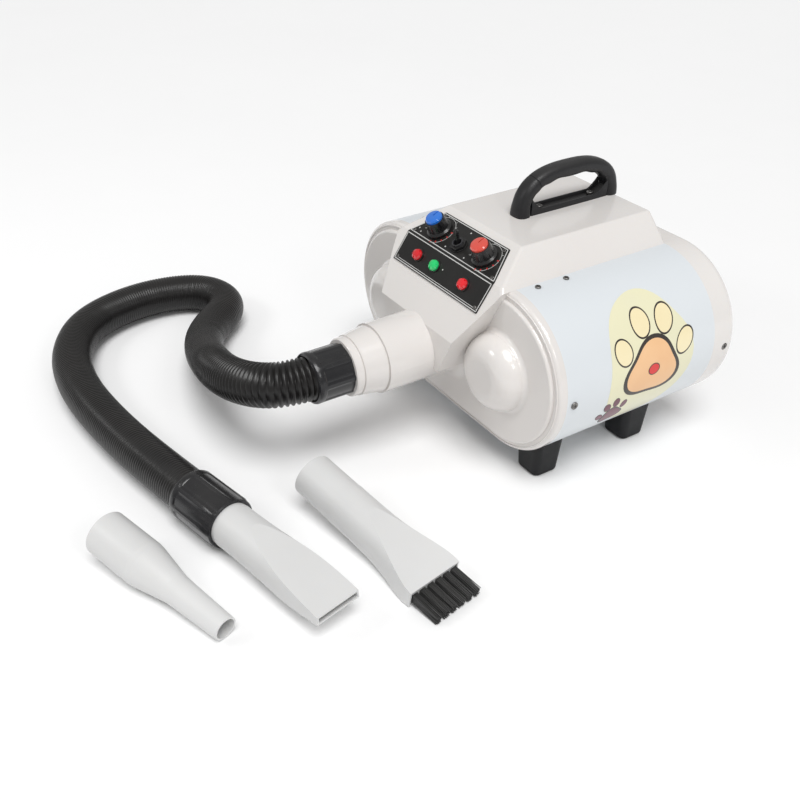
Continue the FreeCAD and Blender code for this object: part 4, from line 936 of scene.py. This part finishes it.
@dataclass
class PanelPrint:
    """Printed lines, dial marks and dots of the control panel, a thin film on the sheet."""

    low: Facet = Facet(55.5)
    high: Facet = Facet(29.5)
    film: float = 0.12 * MM
    line: float = 1.0 * MM
    knob_across: float = 40.0 * MM
    knob_up: float = 19.0 * MM
    dial_radius: float = 18.4 * MM
    marks: int = 13
    first_mark: float = 200.0
    last_mark: float = -80.0
    red_from: int = 8

    def stripe(self, facet: Facet, points: Sequence[tuple[float, float]],
               width: float) -> bpy.types.Object:
        """Lay a thin printed line through points of a facet.

        Args:
            facet: Facet that it lies on.
            points: Pairs of across and up in metres.
            width: Width of the line.

        Returns:
            The line as a closed film.
        """
        rings = []
        for index, (x, y) in enumerate(points):
            ahead = Vector(points[min(index + 1, len(points) - 1)])
            ahead -= Vector(points[max(index - 1, 0)])
            ahead.normalize()
            side = Vector((-ahead.y, ahead.x)) * width / 2
            rings.append([
                facet.place(x + side.x, y + side.y, -self.film / 2),
                facet.place(x - side.x, y - side.y, -self.film / 2),
                facet.place(x - side.x, y - side.y, self.film),
                facet.place(x + side.x, y + side.y, self.film)])
        return loft("stripe", rings)

    def dot(self, facet: Facet, across: float, up: float, radius: float) -> bpy.types.Object:
        """Print a round dot and return it as a closed film."""
        rings = [[facet.place(across + x, up + y, lift) for x, y in oval(radius, radius, 2, 14)]
                 for lift in (-self.film / 2, self.film)]
        return loft("dot", rings)

    def frames(self) -> list[bpy.types.Object]:
        """Lines along the edges of both facets."""
        wide, top, foot = 74.6 * MM, -1.5 * MM, -33.0 * MM
        lines = [self.stripe(self.low, ends, self.line) for ends in (
            ((-wide, top), (wide, top)), ((wide, top), (wide, foot)),
            ((wide, foot), (-wide, foot)), ((-wide, foot), (-wide, top)))]
        above = foot + 2.2 * MM
        lines.append(self.stripe(self.low, ((-wide, above), (wide, above)), self.line * 0.6))
        edge, crown = 1.8 * MM, 38.8 * MM
        corners = [(-74.2 * MM, edge), (74.2 * MM, edge), (54.6 * MM, crown), (-54.6 * MM, crown)]
        for a, b in zip(corners, corners[1:] + corners[:1]):
            lines.append(self.stripe(self.high, (a, b), self.line))
        return lines

    def dial(self, across: float) -> tuple[list[bpy.types.Object], list[bpy.types.Object]]:
        """Arc and marks round one knob.

        Args:
            across: Place of the knob across the panel.

        Returns:
            The silver pieces and the red ones.
        """
        silver, red = [], []

        def spot(radius: float, degrees: float) -> tuple[float, float]:
            """Point at a radius and an angle round the knob."""
            angle = math.radians(degrees)
            return (across + radius * math.cos(angle), self.knob_up + radius * math.sin(angle))

        span = self.last_mark - self.first_mark
        arc = [spot(self.dial_radius, self.first_mark + span * k / 40) for k in range(41)]
        silver.append(self.stripe(self.high, arc, 0.45 * MM))
        for mark in range(self.marks):
            degrees = self.first_mark + span * mark / (self.marks - 1)
            is_red = mark >= self.red_from
            reach = 2.6 * MM if is_red else 1.9 * MM
            start = self.dial_radius - (2.4 * MM if is_red else 0)
            ends = (spot(start, degrees), spot(start + reach, degrees))
            made = self.stripe(self.high, ends, 1.5 * MM if is_red else 0.6 * MM)
            (red if is_red else silver).append(made)
        return silver, red

    def build(self, paint: Paint) -> None:
        """Make the silver print and the red print."""
        silver, red = self.frames(), []
        for side in (-1, 1):
            more_silver, more_red = self.dial(side * self.knob_across)
            silver += more_silver
            red += more_red
        for across, up in ((-60, 6), (-14, 6), (19, 6), (-2, 34), (12, 33), (-66, 9)):
            silver.append(self.dot(self.high, across * MM, up * MM, 0.9 * MM))
        silver.append(self.dot(self.low, 3 * MM, -16 * MM, 0.8 * MM))
        for name, pieces, finish in (("panel_silver_print", silver, "panel_print"),
                                     ("panel_red_print", red, "panel_print_red")):
            piece = join(name, pieces)
            paint.coat(piece, finish)
            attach(piece, "casing")
            LOG.info("%s", name)


# ------------------------------------------------------------------ carrying handle
@dataclass
class CarryHandle:
    """Thick moulded handle on top of the console, with its boat-shaped tray."""

    middle: float = 54.0 * MM
    span: float = 126.0 * MM
    rise: float = 42.0 * MM
    top: float = 235.0 * MM
    half_width: float = 10.2 * MM
    half_thickness: float = 8.2 * MM
    stations: int = 84
    waves: int = 5
    wave_depth: float = 0.75 * MM
    seam_at: float = 0.27
    seam_depth: float = 0.5 * MM
    held_from: float = 0.16
    held_until: float = 0.84
    fade: float = 0.1

    def spine(self, part: float) -> Vector:
        """Point on the middle line of the arch, from its front foot at 0 to its rear at 1."""
        angle = math.pi * part
        c, n = math.cos(angle), math.sin(angle)
        along = self.middle - math.copysign(abs(c) ** 0.75, c) * self.span / 2
        up = self.top + 3 * MM + abs(n) ** 0.80 * (self.rise - 3 * MM)
        return Vector((0.0, along, up))

    def ring(self, part: float, squeeze: float = 0.0) -> list[Vector]:
        """Section of the grip at a part of its arch.

        Args:
            part: Place along the arch, from 0 to 1.
            squeeze: How far the section is drawn in.

        Returns:
            The corners of the section.
        """
        step = 0.004
        here = self.spine(part)
        ahead = self.spine(min(part + step, 1.0)) - self.spine(max(part - step, 0.0))
        ahead.normalize()
        out = Vector((1.0, 0.0, 0.0)).cross(ahead)
        held = (min(max((part - self.held_from) / self.fade, 0.0), 1.0)
                * min(max((self.held_until - part) / self.fade, 0.0), 1.0))
        along = (part - self.held_from) / (self.held_until - self.held_from)
        wave = self.wave_depth * held * math.cos(2 * math.pi * self.waves * along)
        foot = 1.0 + 0.10 * max(0.0, 1 - min(part, 1 - part) / 0.06)
        corners = []
        for x, y in oval(self.half_width * foot - squeeze, self.half_thickness * foot - squeeze,
                         2.7, 32):
            if y < 0:
                y += wave * (-y / self.half_thickness)
            ridge = 0.35 * MM * math.exp(-((y / self.half_thickness - 0.25) / 0.16) ** 2)
            corners.append(here + Vector((x + math.copysign(ridge, x), 0, 0)) + out * y)
        return corners

    def grip(self, paint: Paint) -> None:
        """Make the grip with its finger waves and the seam near its front."""
        rings = [(step / self.stations, 0.0) for step in range(self.stations + 1)]
        rings += [(self.seam_at + offset, squeeze) for offset, squeeze in (
            (-0.006, 0.0), (-0.003, self.seam_depth), (0.003, self.seam_depth), (0.006, 0.0))]
        sections = [self.ring(part, squeeze) for part, squeeze in sorted(rings)]
        feet = [[Vector((p.x, p.y, self.top + 0.25 * MM)) for p in section]
                for section in (sections[0], sections[-1])]
        grip = loft("carry_handle", [feet[0]] + sections + [feet[1]])
        smooth(grip, 50)
        paint.coat(grip, "black_plastic")
        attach(grip, "casing")
        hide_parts("handle_grip")
        LOG.info("carry_handle")

    def tray(self, paint: Paint) -> None:
        """Make the tray: a shallow channel whose walls climb the legs at both ends."""
        reach = self.span / 2 - 8.5 * MM
        half, wall, sole = 8.6 * MM, 1.9 * MM, 2.6 * MM
        rings = []
        for step in range(-20, 21):
            part = step / 20
            climb = max(0.0, (abs(part) - 0.72) / 0.28)
            high = 6.0 * MM + 13.0 * MM * climb ** 1.4
            sole_here = sole + 9.0 * MM * climb ** 1.6
            wide = half * (1.0 + 0.06 * (1 - part * part))
            section = [(-wide, 0.1 * MM), (wide, 0.1 * MM), (wide + 0.4 * MM, high * 0.6),
                       (wide - 0.5 * MM, high), (wide - wall + 0.4 * MM, high),
                       (wide - wall, high - 0.7 * MM), (wide - wall - 0.6 * MM, sole_here),
                       (-wide + wall + 0.6 * MM, sole_here), (-wide + wall, high - 0.7 * MM),
                       (-wide + wall - 0.4 * MM, high), (-wide + 0.5 * MM, high),
                       (-wide - 0.4 * MM, high * 0.6)]
            rings.append([Vector((x, self.middle + part * reach, self.top + z))
                          for x, z in section])
        tray = loft("handle_tray", rings)
        smooth(tray, 38)
        paint.coat(tray, "black_plastic")
        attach(tray, "casing")
        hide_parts("handle_base")
        LOG.info("handle_tray")

    def build(self, paint: Paint) -> None:
        """Make the grip and the tray."""
        self.grip(paint)
        self.tray(paint)


# ------------------------------------------------------------------ printed paws on the sleeve
class Shape(Enum):
    """Outlines of the printed pads."""

    TOE = "toe"
    PAD = "pad"
    BLOB = "blob"


@dataclass(frozen=True)
class Pad:
    """One printed pad: its outline, its place on the unrolled sleeve and its size, in mm."""

    shape: Shape
    along: float
    up: float
    wide: float
    high: float
    turn: float
    finish: str
    lift: float = 0.32
    border: float = 0.88

    def edge(self, angle: float) -> float:
        """Reach of the outline at an angle, as a share of its size."""
        if self.shape is Shape.PAD:
            return 1.0 + 0.13 * math.cos(3 * (angle - math.pi / 2))
        if self.shape is Shape.BLOB:
            return 1.0 + 0.05 * math.cos(3 * angle + 0.6) + 0.03 * math.cos(5 * angle)
        return 1.0


@dataclass
class PawPrint:
    """Plain paw prints on the +X half-round end of the sleeve."""

    centre_x: float = 94.0 * MM
    centre_z: float = 117.0 * MM
    radius: float = 90.0 * MM
    corners: int = 56
    band: float = 5.0
    sunk: float = -0.1
    core: float = 0.03

    def on_sleeve(self, along: float, up: float, lift: float) -> Vector:
        """Point of the sleeve's end at a place on its unrolled face, in metres."""
        angle = up / self.radius
        reach = self.radius + lift
        return Vector((self.centre_x + reach * math.cos(angle), along,
                       self.centre_z + reach * math.sin(angle)))

    def film(self, pad: Pad, paint: Paint) -> bpy.types.Object:
        """Print one pad as a thin closed film.

        Args:
            pad: What to print.
            paint: The finishes.

        Returns:
            The film, wrapped on the sleeve.
        """
        turn = math.radians(pad.turn)
        count = max(4, math.ceil(max(pad.wide, pad.high) / self.band))
        bands = [(self.core, self.sunk)] + [(step / 4, self.sunk) for step in range(1, 5)]
        tops = [step / count for step in range(count, 0, -1)] + [pad.border, self.core]
        bands += [(share, pad.lift) for share in sorted(set(tops), reverse=True)]
        rings = []
        for share, lift in bands:
            ring = []
            for step in range(self.corners):
                angle = 2 * math.pi * step / self.corners
                reach = pad.edge(angle) * share
                x = pad.wide * reach * math.cos(angle)
                y = pad.high * reach * math.sin(angle)
                ring.append(Vector((x * math.cos(turn) - y * math.sin(turn),
                                    x * math.sin(turn) + y * math.cos(turn), lift)) * MM)
            rings.append(ring)
        film = loft("pad_film", rings)
        paint.coat(film, pad.finish, "print_outline")
        inner = pad.border - 0.02
        for face in film.data.polygons:
            x = face.center.x * math.cos(turn) + face.center.y * math.sin(turn)
            y = face.center.y * math.cos(turn) - face.center.x * math.sin(turn)
            x, y = x / (pad.wide * MM), y / (pad.high * MM)
            share = math.hypot(x, y) / pad.edge(math.atan2(y, x))
            face.material_index = 1 if share > inner and pad.border < 1 else 0
        for vertex in film.data.vertices:
            vertex.co = self.on_sleeve(pad.along * MM + vertex.co.x, pad.up * MM + vertex.co.y,
                                       vertex.co.z)
        return film

    @staticmethod
    def paw(along: float, up: float, size: float, tilt: float, sole: str,
            toes: str) -> list[Pad]:
        """Pads of one paw.

        Args:
            along: Place of its sole along the sleeve.
            up: Place of its sole round the sleeve.
            size: Half width of its sole.
            tilt: Lean of the paw in degrees.
            sole: Finish of the sole.
            toes: Finish of the toes.

        Returns:
            The five pads.
        """
        lean = math.radians(tilt)
        pads = [Pad(Shape.PAD, along, up, size, size * 0.86, tilt, sole)]
        for x, y, turn, big in ((-1.12, 0.62, 26, 0.92), (-0.42, 1.34, 8, 1.0),
                                (0.42, 1.34, -8, 1.0), (1.12, 0.62, -26, 0.92)):
            x, y = x * size, y * size
            pads.append(Pad(Shape.TOE, along + x * math.cos(lean) - y * math.sin(lean),
                            up + x * math.sin(lean) + y * math.cos(lean),
                            0.33 * size * big, 0.46 * size * big, turn + tilt, toes))
        return pads

    def build(self, paint: Paint) -> None:
        """Print the halo, the big paw, the small paw and the red dot."""
        pads = [Pad(Shape.BLOB, 26, 16, 58, 78, 0, "print_halo", lift=0.24, border=1.0)]
        pads += self.paw(30, 8, 38, -6, "print_peach", "print_cream")
        pads += self.paw(-14, -40, 14, 18, "print_maroon", "print_maroon")
        pads.append(Pad(Shape.TOE, 31, 7, 8, 6.6, 0, "print_red", lift=0.52, border=0.86))
        for number, pad in enumerate(pads):
            film = self.film(pad, paint)
            film.name = film.data.name = f"sleeve_print_{number}_{pad.shape.value}"
            smooth(film, 40)
            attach(film, "casing")
        LOG.info("sleeve print: %d pads", len(pads))


# ------------------------------------------------------------------ brush of the brush nozzle
@dataclass
class BrushCombs:
    """Six bundles of stiff bristles in the mouth of the brush nozzle."""

    tool_radius: float = 23.3 * MM
    length: float = 178.0 * MM
    heel: float = 86.0 * MM
    comb_half: float = 5.2 * MM
    clear: float = 0.4 * MM
    tail: tuple[float, float] = (53.5 * MM, -302.5 * MM)
    yaw: float = 10.5
    bundles: int = 6
    pitch: float = 10.2 * MM
    across: int = 6
    deep: int = 8
    bristle: float = 0.52 * MM
    spacing: float = 1.16 * MM
    free: float = 33.0 * MM
    rooted: float = 5.0 * MM
    most_lean: float = 0.5 * MM
    most_short: float = 1.4 * MM
    seed: int = 7

    def place(self) -> Matrix:
        """Place of the nozzle: it rests on its heel and its combs, its length along its Z."""
        heel_half = self.tool_radius + 0.4 * MM
        dip = math.asin((heel_half - self.comb_half) / (self.length + self.free - self.heel))
        height = heel_half * math.cos(dip) + self.heel * math.sin(dip) + self.clear
        return (Matrix.Translation((*self.tail, height))
                @ Matrix.Rotation(math.radians(self.yaw), 4, "Z")
                @ Matrix.Rotation(math.pi / 2 + dip, 4, "Y")
                @ Matrix.Rotation(math.pi / 2, 4, "Z"))

    def build(self, paint: Paint) -> None:
        """Make one bristle, repeat it into bundles and ruffle the tips."""
        thick = self.bristle
        root = self.length - self.rooted
        brush = lathe("brush_combs", [
            (thick * 0.4, root), (thick, root), (thick * 0.95, root + self.free * 0.6),
            (thick * 0.7, self.length + self.free - 0.5 * MM),
            (thick * 0.2, self.length + self.free)], steps=6)
        edit(brush)
        bpy.ops.mesh.select_all(action="SELECT")
        bpy.ops.transform.translate(value=(
            -self.pitch * (self.bundles - 1) / 2 - self.spacing * (self.across - 1) / 2,
            -self.spacing * (self.deep - 1) / 2, 0))
        close_edit()
        each = len(brush.data.vertices)
        for count, step in ((self.across, (self.spacing, 0, 0)), (self.deep, (0, self.spacing, 0)),
                            (self.bundles, (self.pitch, 0, 0))):
            add_modifier(brush, "ARRAY", count=count, use_relative_offset=False,
                         use_constant_offset=True, constant_offset_displace=step)
        chance = Random(self.seed)
        vertices = brush.data.vertices
        for start in range(0, len(vertices), each):
            lean = Vector((chance.uniform(-1, 1), chance.uniform(-1, 1), 0)) * self.most_lean
            short = chance.uniform(0, 1) * self.most_short
            for vertex in vertices[start:start + each]:
                part = max(0.0, (vertex.co.z - root) / (self.free + self.rooted))
                vertex.co += lean * part * part
                vertex.co.z -= short * part
        settle(brush, self.place())
        smooth(brush, 60)
        paint.coat(brush, "bristle_black")
        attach(brush, "brush_tool")
        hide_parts("brush_bristles")
        LOG.info("brush_combs")
        self.mouth_plate(paint)

    def mouth_plate(self, paint: Paint) -> None:
        """Make the plate that holds the bundles just inside the nozzle's mouth."""
        rings = [[Vector((x, y, z)) for x, y in oval(half, 7.4 * MM, 5.0, 40)]
                 for half, z in ((29.5 * MM, self.length - 4.5 * MM),
                                 (29.5 * MM, self.length - 1.6 * MM),
                                 (28.9 * MM, self.length - 1.0 * MM))]
        plate = loft("brush_plate", rings)
        settle(plate, self.place())
        smooth(plate, 40)
        paint.coat(plate, "nozzle_white")
        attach(plate, "brush_tool")
        LOG.info("brush_plate")


# ------------------------------------------------------------------ cover trim
@dataclass
class RimBead:
    """Thin moulded bead along the shoulder of the front cover."""

    offset: float = 94.0 * MM
    middle: float = 117.0 * MM
    radius: float = 85.8 * MM
    front: float = -96.0 * MM
    thick: float = 0.9 * MM
    arc_steps: int = 40

    def build(self, paint: Paint) -> None:
        """Sweep a small round section along the flat-sided outline."""
        outline = []
        for side in (1, -1):
            for step in range(self.arc_steps + 1):
                angle = side * (math.pi / 2 - math.pi * step / self.arc_steps)
                outline.append((side * (self.offset + self.radius * math.cos(angle)),
                                math.sin(angle), self.radius * side * math.cos(angle)))
        rings = []
        for x, rise, out in outline + outline[:1]:
            centre = Vector((x, self.front, self.middle + self.radius * rise))
            outward = Vector((out / self.radius, 0, rise)).normalized()
            rings.append([centre + outward * a + Vector((0, b, 0))
                          for a, b in oval(self.thick, self.thick, 2.0, 8)])
        bead = loft("cover_bead", rings)
        smooth(bead, 60)
        paint.coat(bead, "cover_plastic")
        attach(bead, "casing")
        LOG.info("cover_bead")


def main() -> None:
    """Build the looks in order."""
    logging.basicConfig(level=logging.INFO)
    paint = Paint()
    studio = Studio()
    studio.camera()
    build_hose(paint)
    PanelPrint().build(paint)
    CarryHandle().build(paint)
    PawPrint().build(paint)
    BrushCombs().build(paint)
    RimBead().build(paint)
    paint.dress_frame()
    studio.floor(paint)
    studio.light()


if __name__ == "__main__":
    main()
